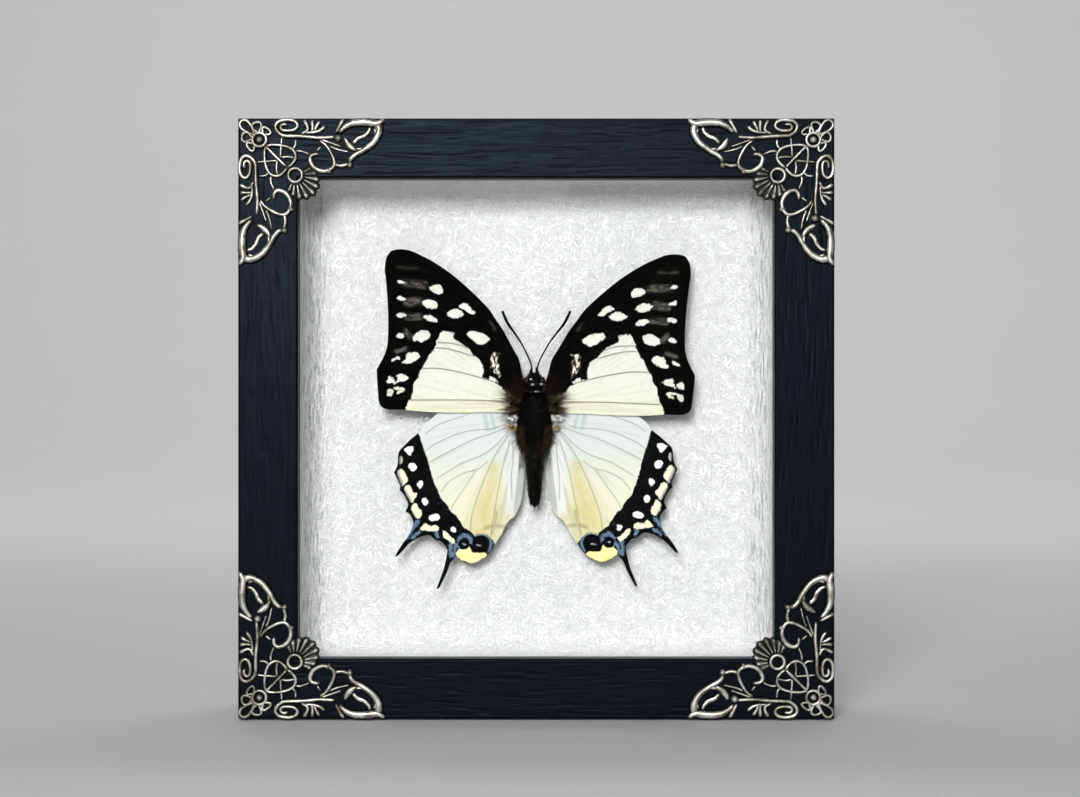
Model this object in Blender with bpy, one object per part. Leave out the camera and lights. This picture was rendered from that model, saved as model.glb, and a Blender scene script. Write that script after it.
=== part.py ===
"""Framed butterfly specimen: a square shadow box with a spread butterfly fixed inside.

Frame of the part: metres, +Z up, the glass faces -Y, the origin is under the middle of
the box on the surface that it stands on.
"""
import math

import bmesh
import bpy
from mathutils import Vector

MM = 0.001
GAP = 0.3 * MM                     # clearance between neighbouring pieces

# Shadow box
FRAME_WIDTH = 152.0 * MM
FRAME_HEIGHT = 153.0 * MM
FRAME_DEPTH = 30.0 * MM
RAIL_FACE = 15.3 * MM              # width of a rail seen from the front
LIP = 5.0 * MM                     # wood in front of the glass
RABBET = 2.4 * MM                  # step behind the lip that takes the glass and the tray
EDGE_CHAMFER = 0.5 * MM
FRONT_Y = -FRAME_DEPTH / 2
BACK_Y = FRAME_DEPTH / 2
MIDDLE_Z = FRAME_HEIGHT / 2
SIGHT_HALF_WIDTH = FRAME_WIDTH / 2 - RAIL_FACE
SIGHT_HALF_HEIGHT = FRAME_HEIGHT / 2 - RAIL_FACE

# What lies in the rabbet, from front to back
GLASS_THICKNESS = 2.0 * MM
GLASS_Y = FRONT_Y + LIP + GAP
INSERT_CLEARANCE = 0.4 * MM        # from the rabbet's wall to glass, tray and board
TRAY_WALL = 1.2 * MM
TRAY_COVE = 6.0 * MM
TRAY_COVE_STEPS = 5
TRAY_FRONT_Y = GLASS_Y + GLASS_THICKNESS + GAP
PAPER_Y = FRONT_Y + 20.0 * MM      # face of the paper behind the butterfly
TRAY_BACK_Y = PAPER_Y + 3.0 * MM
BOARD_THICKNESS = 3.0 * MM
BOARD_Y = TRAY_BACK_Y + GAP

# Points pressed into the rails to hold the board
TAB_WIDTH = 6.0 * MM
TAB_LENGTH = 11.0 * MM
TAB_THICKNESS = 0.6 * MM

# Sawtooth hanger on the top rail
HANGER_LENGTH = 44.0 * MM
HANGER_HEIGHT = 9.0 * MM
HANGER_STANDOFF = 2.0 * MM
HANGER_PLATE = 0.8 * MM
HANGER_TOOTH_COUNT = 9
HANGER_TOOTH_PITCH = 2.6 * MM
HANGER_TOOTH_DEPTH = 1.6 * MM
HANGER_END_MARGIN = 2.0 * MM       # from the last tooth to the flat end
NAIL_HEAD_RADIUS = 1.7 * MM
NAIL_HEAD_HEIGHT = 0.8 * MM
NAIL_TOP_RADIUS = 1.0 * MM
NAIL_CLEARANCE = 0.05 * MM         # between a nail's head and the hanger's end
NAIL_SIDES = 16

# Openwork corners, in millimetres from the frame's outer corner along its two edges
CORNER_THICKNESS = 2.0 * MM
CORNER_HALF_OUTLINE = [
    (0.5, 0.5), (7.5, 0.4), (8.7, 1.4), (10.2, 0.8), (12.5, 0.3), (15.0, 0.9), (17.0, 0.4),
    (20.6, 0.6), (22.3, 2.2), (24.6, 3.2), (26.8, 0.4), (28.4, 1.6), (30.6, 0.9), (34.0, 1.1),
    (37.6, 0.3), (36.2, 3.0), (35.7, 4.4), (34.6, 6.1), (32.4, 8.0), (29.6, 9.6), (28.9, 10.8),
    (29.0, 12.2), (27.4, 12.4), (25.0, 12.2), (23.6, 13.5), (21.4, 14.0), (19.2, 14.1),
    (20.4, 15.0), (20.9, 16.9), (20.2, 18.4), (19.3, 19.3),
]
CORNER_HALF_HOLES = [
    [(28.9, 3.2), (30.6, 2.0), (33.6, 2.0), (34.6, 3.6), (33.9, 5.4), (32.0, 7.0),
     (29.9, 7.4), (28.6, 5.6)],
    [(21.6, 7.2), (23.2, 8.8), (23.6, 10.8), (22.8, 12.4), (20.9, 12.6), (19.4, 11.2),
     (19.6, 9.3)],
    [(24.8, 6.9), (27.6, 8.3), (27.4, 10.8), (25.6, 10.8)],
    [(16.2, 5.4), (20.0, 5.6), (18.6, 8.0), (16.2, 8.2)],
    [(10.6, 2.2), (12.6, 1.6), (13.2, 3.0), (11.4, 3.6)],
]
CORNER_MIDDLE_HOLE = [(7.9, 7.9), (10.2, 8.1), (10.4, 10.4), (8.1, 10.2)]

# Butterfly: wing outlines in millimetres, outwards from the body's axis and upwards from
# the level of the wing hinges
BODY_X = -0.5 * MM
HINGE_Z = 78.6 * MM
WING_THICKNESS = 0.6 * MM
FOREWING_Y = -2.3 * MM
HINDWING_Y = FOREWING_Y + WING_THICKNESS + GAP
FOREWING_OUTLINE = [
    (4.6, 4.4), (3.0, 7.6), (3.4, 9.9), (4.1, 13.1), (5.4, 15.7), (6.8, 18.3), (8.2, 20.9),
    (11.7, 26.1), (14.1, 28.7), (16.8, 31.3), (19.7, 33.9), (22.1, 35.8), (27.3, 39.2),
    (30.0, 40.5), (32.5, 41.6),
    (35.1, 41.9), (37.2, 41.5), (38.1, 40.5), (38.7, 39.1), (39.0, 36.5), (38.3, 28.7),
    (38.1, 23.5), (38.3, 18.3), (38.6, 15.7), (39.7, 13.1), (41.1, 10.6), (40.9, 5.2),
    (40.6, 2.6), (40.2, 1.3), (39.3, 0.5), (37.7, 0.1), (33.8, 0.0), (27.3, -0.5),
    (19.4, -0.7), (9.0, -0.4), (4.9, 0.4),
]
HINDWING_OUTLINE = [
    (4.9, -1.4), (9.0, 0.8), (14.2, 1.4), (20.0, 1.2), (24.7, -0.4), (26.8, -2.2), (28.6, -3.7),
    (30.3, -5.9), (32.5, -7.8), (34.1, -9.4), (35.6, -11.7), (35.8, -14.4), (36.7, -16.3),
    (35.5, -18.8), (35.1, -19.8), (35.2, -21.1), (34.3, -21.9), (33.0, -24.5), (33.7, -26.5),
    (32.0, -28.2), (31.7, -29.5), (33.0, -32.9), (35.5, -36.5), (36.4, -38.2), (34.3, -36.5),
    (31.7, -34.2), (28.6, -32.8), (27.3, -32.8), (25.7, -34.1), (23.0, -36.0), (22.8, -37.1),
    (23.5, -40.7), (24.9, -44.6), (25.6, -46.7), (23.9, -44.6), (22.1, -40.2), (20.5, -38.1),
    (18.9, -39.4), (16.3, -40.1), (12.7, -38.4), (10.4, -35.2), (8.7, -32.6), (6.7, -29.0),
    (5.1, -27.5), (3.8, -25.1), (3.5, -18.3), (4.0, -13.1), (4.9, -9.0),
]
RIGHT_SPREAD = 1.01                # the right wings reach out a trifle further
RIGHT_FOREWING_TURN = math.radians(-2.3)
RIGHT_HINDWING_TURN = math.radians(1.5)
FOREWING_HINGE = (3.0, 1.0)
HINDWING_HINGE = (3.0, -2.0)

# Body sections in millimetres: level above the hinge, half width, half depth
BODY_SIDES = 16
BODY_Y = -1.6 * MM
HEAD_SECTIONS = [
    (10.4, 0.3, 0.3), (9.6, 1.3, 1.1), (8.4, 1.9, 1.6), (6.8, 2.5, 2.0), (5.6, 2.3, 1.8),
    (5.0, 1.4, 1.2),
]
THORAX_SECTIONS = [
    (4.6, 1.8, 1.4), (3.6, 3.0, 2.4), (1.6, 4.0, 3.4), (-1.6, 4.4, 3.8), (-5.2, 4.3, 3.8),
    (-8.0, 3.9, 3.3), (-10.0, 2.9, 2.4), (-10.8, 1.8, 1.5),
]
ABDOMEN_SECTIONS = [
    (-11.2, 1.6, 1.4), (-12.0, 2.6, 2.2), (-15.0, 2.8, 2.4), (-18.3, 2.2, 2.0),
    (-21.0, 1.8, 1.6), (-23.5, 1.2, 1.1), (-25.0, 0.6, 0.6),
]
ANTENNA_PATH = [
    (0.5, 10.9), (0.9, 12.4), (2.0, 14.6), (3.6, 17.6), (5.1, 20.6), (6.9, 23.2), (8.4, 25.8),
]
RIGHT_ANTENNA_STRETCH = (1.12, 1.0)
ANTENNA_RADIUS = 0.2 * MM
ANTENNA_CLUB = [1.0, 1.0, 1.0, 1.1, 1.4, 1.9, 1.5]
PAD_SIZE = 5.0 * MM


def clear_scene():
    for item in list(bpy.data.objects):
        bpy.data.objects.remove(item, do_unlink=True)


def make_material(name, color, roughness, metallic=0.0, transmission=0.0):
    """A Principled finish from its sRGB colour, given as three values from 0 to 1."""
    material = bpy.data.materials.new(name)
    material.use_nodes = True
    shader = material.node_tree.nodes["Principled BSDF"]
    linear = [channel ** 2.2 for channel in color]
    shader.inputs["Base Color"].default_value = (*linear, 1.0)
    shader.inputs["Roughness"].default_value = roughness
    shader.inputs["Metallic"].default_value = metallic
    shader.inputs["Transmission Weight"].default_value = transmission
    return material


def add_object(name, mesh_edit, material):
    """Turn finished bmesh geometry into a named object with its faces outwards."""
    bmesh.ops.recalc_face_normals(mesh_edit, faces=mesh_edit.faces)
    mesh = bpy.data.meshes.new(name)
    mesh_edit.to_mesh(mesh)
    mesh_edit.free()
    mesh.materials.append(material)
    item = bpy.data.objects.new(name, mesh)
    bpy.context.scene.collection.objects.link(item)
    return item


def add_loop(mesh_edit, points):
    """A closed ring of edges through the points."""
    ring = [mesh_edit.verts.new(point) for point in points]
    return [mesh_edit.edges.new((ring[i - 1], ring[i])) for i in range(len(ring))]


def loft(name, rings, material):
    """A solid skinned over rings of equal length, closed by a face at each end."""
    shape = bmesh.new()
    loops = [add_loop(shape, ring) for ring in rings]
    for first, second in zip(loops, loops[1:]):
        bmesh.ops.bridge_loops(shape, edges=first + second)
    for loop in (loops[0], loops[-1]):
        bmesh.ops.contextual_create(shape, geom=loop)
    return add_object(name, shape, material)


def plate(name, outline, holes, thickness, material):
    """A flat plate in the XZ plane, from its outline and holes, grown towards +Y."""
    shape = bmesh.new()
    edges = []
    for ring in [outline] + holes:
        edges += add_loop(shape, [(x, 0.0, z) for x, z in ring])
    bmesh.ops.triangle_fill(shape, use_beauty=True, edges=edges)
    grown = bmesh.ops.extrude_face_region(shape, geom=list(shape.faces))
    moved = [item for item in grown["geom"] if isinstance(item, bmesh.types.BMVert)]
    bmesh.ops.translate(shape, verts=moved, vec=(0.0, thickness, 0.0))
    return add_object(name, shape, material)


def box(name, low, high, material):
    shape = bmesh.new()
    bmesh.ops.create_cube(shape, size=1.0)
    for vertex in shape.verts:
        vertex.co = Vector(
            high[i] if vertex.co[i] > 0 else low[i] for i in range(3)
        )
    return add_object(name, shape, material)


def rectangle_ring(half_width, half_height, y):
    """Four corners of an upright rectangle about the middle of the frame."""
    return [
        (side_x * half_width, y, MIDDLE_Z + side_z * half_height)
        for side_x, side_z in ((-1, -1), (1, -1), (1, 1), (-1, 1))
    ]


def make_rail(name, quarter_turns, material):
    """One mitred rail. Its section is (distance in from the outer edge, y)."""
    step = RAIL_FACE - RABBET
    section = [
        (EDGE_CHAMFER, FRONT_Y), (RAIL_FACE - EDGE_CHAMFER, FRONT_Y),
        (RAIL_FACE, FRONT_Y + EDGE_CHAMFER), (RAIL_FACE, FRONT_Y + LIP),
        (step, FRONT_Y + LIP), (step, BACK_Y), (0.0, BACK_Y), (0.0, FRONT_Y + EDGE_CHAMFER),
    ]
    upright = quarter_turns % 2 == 1
    half_length = (FRAME_HEIGHT if upright else FRAME_WIDTH) / 2
    half_span = (FRAME_WIDTH if upright else FRAME_HEIGHT) / 2
    mitre_gap = GAP / 2 * math.sqrt(2)
    turn = quarter_turns * math.pi / 2
    rings = []
    for side in (-1, 1):
        ring = []
        for inset, y in section:
            along = side * (half_length - inset - mitre_gap)
            across = half_span - inset
            x = along * math.cos(turn) - across * math.sin(turn)
            z = along * math.sin(turn) + across * math.cos(turn)
            ring.append((x, y, MIDDLE_Z + z))
        rings.append(ring)
    return loft(name, rings, material)


def make_tray(material):
    """The paper-covered tray: square walls that run into the back through a cove."""
    half_width = SIGHT_HALF_WIDTH + RABBET - INSERT_CLEARANCE
    half_height = SIGHT_HALF_HEIGHT + RABBET - INSERT_CLEARANCE
    rings = [
        rectangle_ring(half_width, half_height, TRAY_BACK_Y),
        rectangle_ring(half_width, half_height, TRAY_FRONT_Y),
        rectangle_ring(half_width - TRAY_WALL, half_height - TRAY_WALL, TRAY_FRONT_Y),
    ]
    for i in range(TRAY_COVE_STEPS + 1):
        angle = i / TRAY_COVE_STEPS * math.pi / 2
        inset = TRAY_WALL + TRAY_COVE * (1 - math.cos(angle))
        y = PAPER_Y - TRAY_COVE * (1 - math.sin(angle))
        rings.append(rectangle_ring(half_width - inset, half_height - inset, y))
    return loft("paper_tray", rings, material)


def make_insert(name, y, thickness, material):
    """A flat sheet that fills the rabbet: the glass or the back board."""
    half_width = SIGHT_HALF_WIDTH + RABBET - INSERT_CLEARANCE
    half_height = SIGHT_HALF_HEIGHT + RABBET - INSERT_CLEARANCE
    low = (-half_width, y, MIDDLE_Z - half_height)
    high = (half_width, y + thickness, MIDDLE_Z + half_height)
    return box(name, low, high, material)


def make_tab(name, quarter_turns, material):
    """A pointed steel tab that lies on the board, square to its rail."""
    reach = FRAME_HEIGHT / 2 if quarter_turns % 2 == 0 else FRAME_WIDTH / 2
    root = reach - RAIL_FACE + RABBET - GAP
    half = TAB_WIDTH / 2
    outline = [
        (-half, root), (half, root), (half, root - TAB_LENGTH * 0.6),
        (0.0, root - TAB_LENGTH), (-half, root - TAB_LENGTH * 0.6),
    ]
    tab = plate(name, outline, [], TAB_THICKNESS, material)
    tab.rotation_euler = (0.0, quarter_turns * math.pi / 2, 0.0)
    tab.location = (0.0, BOARD_Y + BOARD_THICKNESS + GAP, MIDDLE_Z)
    return tab


def make_hanger(material):
    """A sawtooth strip: flat ends for the nails, and a raised middle with teeth below."""
    half = HANGER_LENGTH / 2
    top = FRAME_HEIGHT - (RAIL_FACE - RABBET - HANGER_HEIGHT) / 2
    low = top - HANGER_HEIGHT
    teeth_half = HANGER_TOOTH_COUNT * HANGER_TOOTH_PITCH / 2
    outline = [(half, low), (half, top), (-half, top), (-half, low), (-teeth_half, low)]
    for i in range(HANGER_TOOTH_COUNT):
        start = -teeth_half + i * HANGER_TOOTH_PITCH
        outline.append((start + HANGER_TOOTH_PITCH / 2, low + HANGER_TOOTH_DEPTH))
        outline.append((start + HANGER_TOOTH_PITCH, low))
    hanger = plate("sawtooth_hanger", outline, [], HANGER_STANDOFF, material)
    hanger.location = (0.0, BACK_Y + GAP, 0.0)
    cutters = []
    for side in (-1, 1):
        inner = side * (teeth_half + HANGER_END_MARGIN)
        outer = side * (half + MM)
        low_corner = (min(inner, outer), BACK_Y + GAP + HANGER_PLATE, low - MM)
        high_corner = (max(inner, outer), BACK_Y + 2 * HANGER_STANDOFF, top + MM)
        cutters.append(box("hanger_end_cutter", low_corner, high_corner, material))
    for cutter in cutters:
        cutter.hide_render = True
        cutter.display_type = "WIRE"
        cut = hanger.modifiers.new("flat end", "BOOLEAN")
        cut.operation = "DIFFERENCE"
        cut.solver = "EXACT"
        cut.object = cutter
    return hanger


def make_nail(name, x, material):
    """A domed nail head on the hanger's flat end."""
    shape = bmesh.new()
    bmesh.ops.create_cone(
        shape, cap_ends=True, segments=NAIL_SIDES, radius1=NAIL_HEAD_RADIUS,
        radius2=NAIL_TOP_RADIUS, depth=NAIL_HEAD_HEIGHT,
    )
    nail = add_object(name, shape, material)
    nail.rotation_euler = (-math.pi / 2, 0.0, 0.0)
    level = FRAME_HEIGHT - (RAIL_FACE - RABBET) / 2
    y = BACK_Y + GAP + HANGER_PLATE + NAIL_CLEARANCE + NAIL_HEAD_HEIGHT / 2
    nail.location = (x, y, level)
    return nail


def mirrored_outline(half):
    """A closed outline from one half and its mirror image about the diagonal."""
    other = [(b, a) for a, b in reversed(half)]
    closed = half + other
    return [point for i, point in enumerate(closed) if point != closed[i - 1]]


def make_corner(name, quarter_turns, material):
    """An openwork corner. It is drawn at the top left and turned to its own corner."""
    def to_plate(points):
        return [(a * MM, -b * MM) for a, b in points]

    outline = to_plate(mirrored_outline(CORNER_HALF_OUTLINE))
    holes = [to_plate(hole) for hole in CORNER_HALF_HOLES]
    holes += [to_plate([(b, a) for a, b in hole]) for hole in CORNER_HALF_HOLES]
    holes.append(to_plate(CORNER_MIDDLE_HOLE))
    corner = plate(name, outline, holes, CORNER_THICKNESS, material)
    corner.rotation_euler = (0.0, quarter_turns * math.pi / 2, 0.0)
    side_x = -1 if quarter_turns in (0, 3) else 1
    z = FRAME_HEIGHT if quarter_turns in (0, 1) else 0.0
    corner.location = (side_x * FRAME_WIDTH / 2, FRONT_Y - GAP - CORNER_THICKNESS, z)
    return corner


def place_wing_point(point, side, hinge, turn):
    """A wing point in the frame's XZ plane; the right wings are turned about the hinge."""
    out, up = point
    if side > 0:
        away = (out - hinge[0]) * RIGHT_SPREAD
        rise = up - hinge[1]
        out = hinge[0] + away * math.cos(turn) - rise * math.sin(turn)
        up = hinge[1] + away * math.sin(turn) + rise * math.cos(turn)
    return (BODY_X + side * out * MM, HINGE_Z + up * MM)


def make_wing(name, outline, side, hinge, turn, y, material):
    points = [place_wing_point(point, side, hinge, turn) for point in outline]
    wing = plate(name, points, [], WING_THICKNESS, material)
    wing.location = (0.0, y, 0.0)
    return wing


def make_body_piece(name, sections, material):
    """A solid of elliptical sections stacked along the body."""
    rings = []
    for level, half_width, half_depth in sections:
        ring = []
        for i in range(BODY_SIDES):
            angle = 2 * math.pi * i / BODY_SIDES
            x = BODY_X + half_width * MM * math.cos(angle)
            y = BODY_Y + half_depth * MM * math.sin(angle)
            ring.append((x, y, HINGE_Z + level * MM))
        rings.append(ring)
    piece = loft(name, rings, material)
    piece.data.shade_smooth()
    return piece


def make_antenna(name, side, material):
    """A thin tube with a slim club at its end."""
    stretch = RIGHT_ANTENNA_STRETCH if side > 0 else (1.0, 1.0)
    curve = bpy.data.curves.new(name, "CURVE")
    curve.dimensions = "3D"
    curve.bevel_depth = ANTENNA_RADIUS
    curve.bevel_resolution = 1
    curve.use_fill_caps = True
    path = curve.splines.new("POLY")
    path.points.add(len(ANTENNA_PATH) - 1)
    for point, (out, up), radius in zip(path.points, ANTENNA_PATH, ANTENNA_CLUB):
        x = BODY_X + side * out * stretch[0] * MM
        z = HINGE_Z + up * stretch[1] * MM
        point.co = (x, BODY_Y, z, 1.0)
        point.radius = radius
    curve.materials.append(material)
    item = bpy.data.objects.new(name, curve)
    bpy.context.scene.collection.objects.link(item)
    return item


def make_pad(material):
    """The foam block between the thorax and the paper."""
    half = PAD_SIZE / 2
    middle = HINGE_Z - 3.0 * MM
    low = (BODY_X - half, BODY_Y + 3.8 * MM + GAP, middle - half)
    high = (BODY_X + half, PAPER_Y - GAP, middle + half)
    return box("thorax_pad", low, high, material)


def main():
    clear_scene()
    wood = make_material("black_stained_wood", (0.09, 0.11, 0.14), 0.45)
    glass = make_material("clear_glass", (1.0, 1.0, 1.0), 0.03, transmission=1.0)
    paper = make_material("white_fibre_paper", (0.94, 0.95, 0.95), 0.8)
    board = make_material("black_hardboard", (0.07, 0.07, 0.07), 0.8)
    steel = make_material("bright_steel", (0.72, 0.70, 0.66), 0.35, metallic=1.0)
    silver = make_material("antique_silver", (0.62, 0.58, 0.50), 0.4, metallic=1.0)
    scales = make_material("wing_scales", (0.93, 0.92, 0.82), 0.6)
    chitin = make_material("dark_hairy_body", (0.10, 0.08, 0.06), 0.8)
    foam = make_material("white_foam", (0.92, 0.92, 0.90), 0.9)

    for turns, side in enumerate(("top", "left", "bottom", "right")):
        make_rail("rail_" + side, turns, wood)
    make_insert("glass_pane", GLASS_Y, GLASS_THICKNESS, glass)
    make_tray(paper)
    make_insert("back_board", BOARD_Y, BOARD_THICKNESS, board)
    for turns, side in enumerate(("top", "right", "bottom", "left")):
        make_tab("back_tab_" + side, turns, steel)
    make_hanger(steel)
    nail_x = HANGER_LENGTH / 2 - 4.5 * MM
    make_nail("hanger_nail_left", -nail_x, steel)
    make_nail("hanger_nail_right", nail_x, steel)
    for turns, place in enumerate(("top_left", "top_right", "bottom_right", "bottom_left")):
        make_corner("corner_" + place, turns, silver)

    for side, word in ((-1, "left"), (1, "right")):
        make_wing("forewing_" + word, FOREWING_OUTLINE, side, FOREWING_HINGE,
                  RIGHT_FOREWING_TURN, FOREWING_Y, scales)
        make_wing("hindwing_" + word, HINDWING_OUTLINE, side, HINDWING_HINGE,
                  RIGHT_HINDWING_TURN, HINDWING_Y, scales)
        make_antenna("antenna_" + word, side, chitin)
    make_body_piece("head", HEAD_SECTIONS, chitin)
    make_body_piece("thorax", THORAX_SECTIONS, chitin)
    make_body_piece("abdomen", ABDOMEN_SECTIONS, chitin)
    make_pad(foam)


main()
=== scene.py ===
"""Framed butterfly specimen, finished: stained wood, silver corners, fibre paper, wings and hair.

Every shape is a numpy surface in metres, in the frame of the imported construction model.
"""
import math

import bmesh
import bpy
import numpy as np
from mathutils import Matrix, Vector


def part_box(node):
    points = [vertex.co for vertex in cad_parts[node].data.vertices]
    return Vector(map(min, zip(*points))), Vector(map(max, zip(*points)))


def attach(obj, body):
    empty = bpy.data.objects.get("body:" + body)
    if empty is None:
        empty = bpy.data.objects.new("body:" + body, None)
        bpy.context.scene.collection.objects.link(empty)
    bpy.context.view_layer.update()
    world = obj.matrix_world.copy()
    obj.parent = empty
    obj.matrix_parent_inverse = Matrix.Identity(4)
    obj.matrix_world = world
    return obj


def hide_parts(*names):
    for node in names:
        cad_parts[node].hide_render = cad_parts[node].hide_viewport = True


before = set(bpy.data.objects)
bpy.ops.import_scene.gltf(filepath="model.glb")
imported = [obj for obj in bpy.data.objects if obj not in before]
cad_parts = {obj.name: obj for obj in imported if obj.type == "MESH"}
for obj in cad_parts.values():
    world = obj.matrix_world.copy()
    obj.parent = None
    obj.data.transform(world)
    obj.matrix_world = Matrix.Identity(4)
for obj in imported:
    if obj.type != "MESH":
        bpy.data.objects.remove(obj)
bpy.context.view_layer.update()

bl_info = {
    "name": "Framed Butterfly Specimen",
    "version": (1, 0, 0),
    "blender": (4, 5, 0),
    "location": "View3D > Sidebar > Specimen",
    "description": "Builds the finish of a shadow box with a spread butterfly",
    "category": "Add Mesh",
}

MM = 0.001
BODY = "root"

# Places, all read from the construction model
RAIL_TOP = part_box("rail_top")
RAIL_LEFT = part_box("rail_left")
RAIL_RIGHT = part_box("rail_right")
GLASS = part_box("glass_pane")
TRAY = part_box("paper_tray")
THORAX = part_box("thorax")
FRONT_Y = RAIL_TOP[0].y
BACK_Y = RAIL_TOP[1].y
HALF_WIDTH = RAIL_RIGHT[1].x
HEIGHT = RAIL_TOP[1].z
MIDDLE_Z = HEIGHT / 2
RAIL_FACE = RAIL_LEFT[1].x - RAIL_LEFT[0].x
LIP_BACK_Y = GLASS[0].y - 0.3 * MM
RABBET_X = GLASS[1].x + 0.4 * MM
TRAY_X = TRAY[1].x
TRAY_Z = (TRAY[1].z - TRAY[0].z) / 2
PAPER_Y = TRAY[1].y - 3.0 * MM
BODY_X = (THORAX[0].x + THORAX[1].x) / 2
BODY_Y = (THORAX[0].y + THORAX[1].y) / 2
HINGE_Z = THORAX[1].z - 4.6 * MM
FOREWING_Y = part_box("forewing_left")[0].y
HINDWING_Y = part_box("hindwing_left")[0].y


# ---------------------------------------------------------------- colours and nodes

def linear(code):
    """The linear colour of an sRGB hex code such as #c0ffee."""
    parts = [int(code[i:i + 2], 16) / 255 for i in (1, 3, 5)]
    return tuple(c / 12.92 if c <= 0.04045 else ((c + 0.055) / 1.055) ** 2.4 for c in parts)


def rgba(color):
    values = linear(color) if isinstance(color, str) else tuple(color)[:3]
    return (*values, 1.0)


def add_node(tree, kind, settings=None, **links):
    """Add a node; settings are its properties, links its inputs as values or sockets."""
    node = tree.nodes.new(kind)
    for key, value in (settings or {}).items():
        setattr(node, key, value)
    for key, value in links.items():
        name = key.replace("_", " ")
        socket = node.inputs[int(key[1:])] if key[0] == "i" and key[1:].isdigit() else node.inputs[name]
        if isinstance(value, bpy.types.NodeSocket):
            tree.links.new(value, socket)
        else:
            socket.default_value = value
    return node


def new_material(name):
    """An empty material: its tree, its Principled shader and itself."""
    material = bpy.data.materials.new(name)
    material.use_nodes = True
    tree = material.node_tree
    return material, tree, tree.nodes["Principled BSDF"]


def set_shader(tree, shader, **values):
    for key, value in values.items():
        socket = shader.inputs[key.replace("_", " ")]
        if isinstance(value, bpy.types.NodeSocket):
            tree.links.new(value, socket)
        else:
            socket.default_value = value


def attribute(tree, name):
    return add_node(tree, "ShaderNodeAttribute", {"attribute_name": name}).outputs["Fac"]


def blend_color(tree, factor, first, second, mode="MIX"):
    """Mix two colours; each is a socket, a hex code or a linear colour."""
    node = tree.nodes.new("ShaderNodeMix")
    node.data_type = "RGBA"
    node.blend_type = mode
    for index, value in ((0, factor), (6, first), (7, second)):
        if isinstance(value, bpy.types.NodeSocket):
            tree.links.new(value, node.inputs[index])
        else:
            node.inputs[index].default_value = value if index == 0 else rgba(value)
    return node.outputs[2]


def ramp(tree, value, low, high, start=0.0, end=1.0):
    """A smooth step of the value between low and high."""
    return add_node(tree, "ShaderNodeMapRange", {"interpolation_type": "SMOOTHSTEP"}, Value=value,
                    From_Min=low, From_Max=high, To_Min=start, To_Max=end).outputs["Result"]


def marking(tree, name, ragged, low, high):
    """How much of a marking shows: a smooth step of its point value, with a ragged edge."""
    return ramp(tree, maths(tree, "ADD", attribute(tree, name), ragged), low, high)


def maths(tree, operation, first, second=0.0):
    return add_node(tree, "ShaderNodeMath", {"operation": operation}, i0=first, i1=second).outputs[0]


def noise(tree, vector, size_mm, detail=2.0, roughness=0.5):
    """Noise whose features are size_mm across, on a vector in metres."""
    return add_node(tree, "ShaderNodeTexNoise", Vector=vector, Scale=1.0 / (size_mm * MM),
                    Detail=detail, Roughness=roughness).outputs["Fac"]


def object_vector(tree, scale=(1.0, 1.0, 1.0)):
    place = tree.nodes.new("ShaderNodeTexCoord").outputs["Object"]
    return add_node(tree, "ShaderNodeMapping", Vector=place, Scale=scale).outputs["Vector"]


def bump(tree, height, distance, strength=1.0):
    return add_node(tree, "ShaderNodeBump", Height=height, Distance=distance,
                    Strength=strength).outputs["Normal"]


# ---------------------------------------------------------------- numpy surfaces

def value_noise(across, along, cell, seed):
    """Random numbers on a lattice of that cell, blended by a smooth step; -1 to 1."""
    table = np.random.default_rng(seed).uniform(-1.0, 1.0, (257, 257))
    x = np.asarray(across) / cell[0]
    y = np.asarray(along) / cell[1]
    i = np.floor(x).astype(int)
    j = np.floor(y).astype(int)
    fx = x - i
    fy = y - j
    sx = fx * fx * (3 - 2 * fx)
    sy = fy * fy * (3 - 2 * fy)
    i0, i1, j0, j1 = i % 257, (i + 1) % 257, j % 257, (j + 1) % 257
    low = table[i0, j0] * (1 - sx) + table[i1, j0] * sx
    high = table[i0, j1] * (1 - sx) + table[i1, j1] * sx
    return low * (1 - sy) + high * sy


def smooth_step(value, low, high):
    t = np.clip((value - low) / (high - low), 0.0, 1.0)
    return t * t * (3 - 2 * t)


def through(points, step, closed=False):
    """Catmull-Rom curve through the points, read at even steps of its length."""
    points = np.asarray(points, float)
    if closed:
        padded = np.vstack([points[-1], points, points[0], points[1]])
    else:
        padded = np.vstack([2 * points[0] - points[1], points, 2 * points[-1] - points[-2]])
    t = np.linspace(0.0, 1.0, 16, endpoint=False)[:, None]
    p0, p1, p2, p3 = (padded[i:len(padded) - 3 + i][:, None, :] for i in range(4))
    curve = 0.5 * (2 * p1 + (p2 - p0) * t + (2 * p0 - 5 * p1 + 4 * p2 - p3) * t ** 2
                   + (3 * p1 - p0 - 3 * p2 + p3) * t ** 3)
    curve = curve.reshape(-1, points.shape[1])
    curve = np.vstack([curve, points[0] if closed else points[-1]])
    length = np.concatenate([[0.0], np.cumsum(np.linalg.norm(np.diff(curve, axis=0), axis=1))])
    count = max(4, int(round(length[-1] / step)))
    even = np.linspace(0.0, length[-1], count + 1)
    if closed:
        even = even[:-1]
    return np.stack([np.interp(even, length, column) for column in curve.T], axis=1)


def grid_quads(rows, columns, wrap_rows=False, wrap_columns=False, start=0):
    """Corner numbers of the quads of a grid whose points are stored row by row."""
    r = np.arange(rows if wrap_rows else rows - 1)[:, None]
    c = np.arange(columns if wrap_columns else columns - 1)[None, :]
    r1, c1 = (r + 1) % rows, (c + 1) % columns
    quads = np.stack(np.broadcast_arrays(r * columns + c, r * columns + c1,
                                         r1 * columns + c1, r1 * columns + c), axis=-1)
    return quads.reshape(-1, 4) + start


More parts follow.
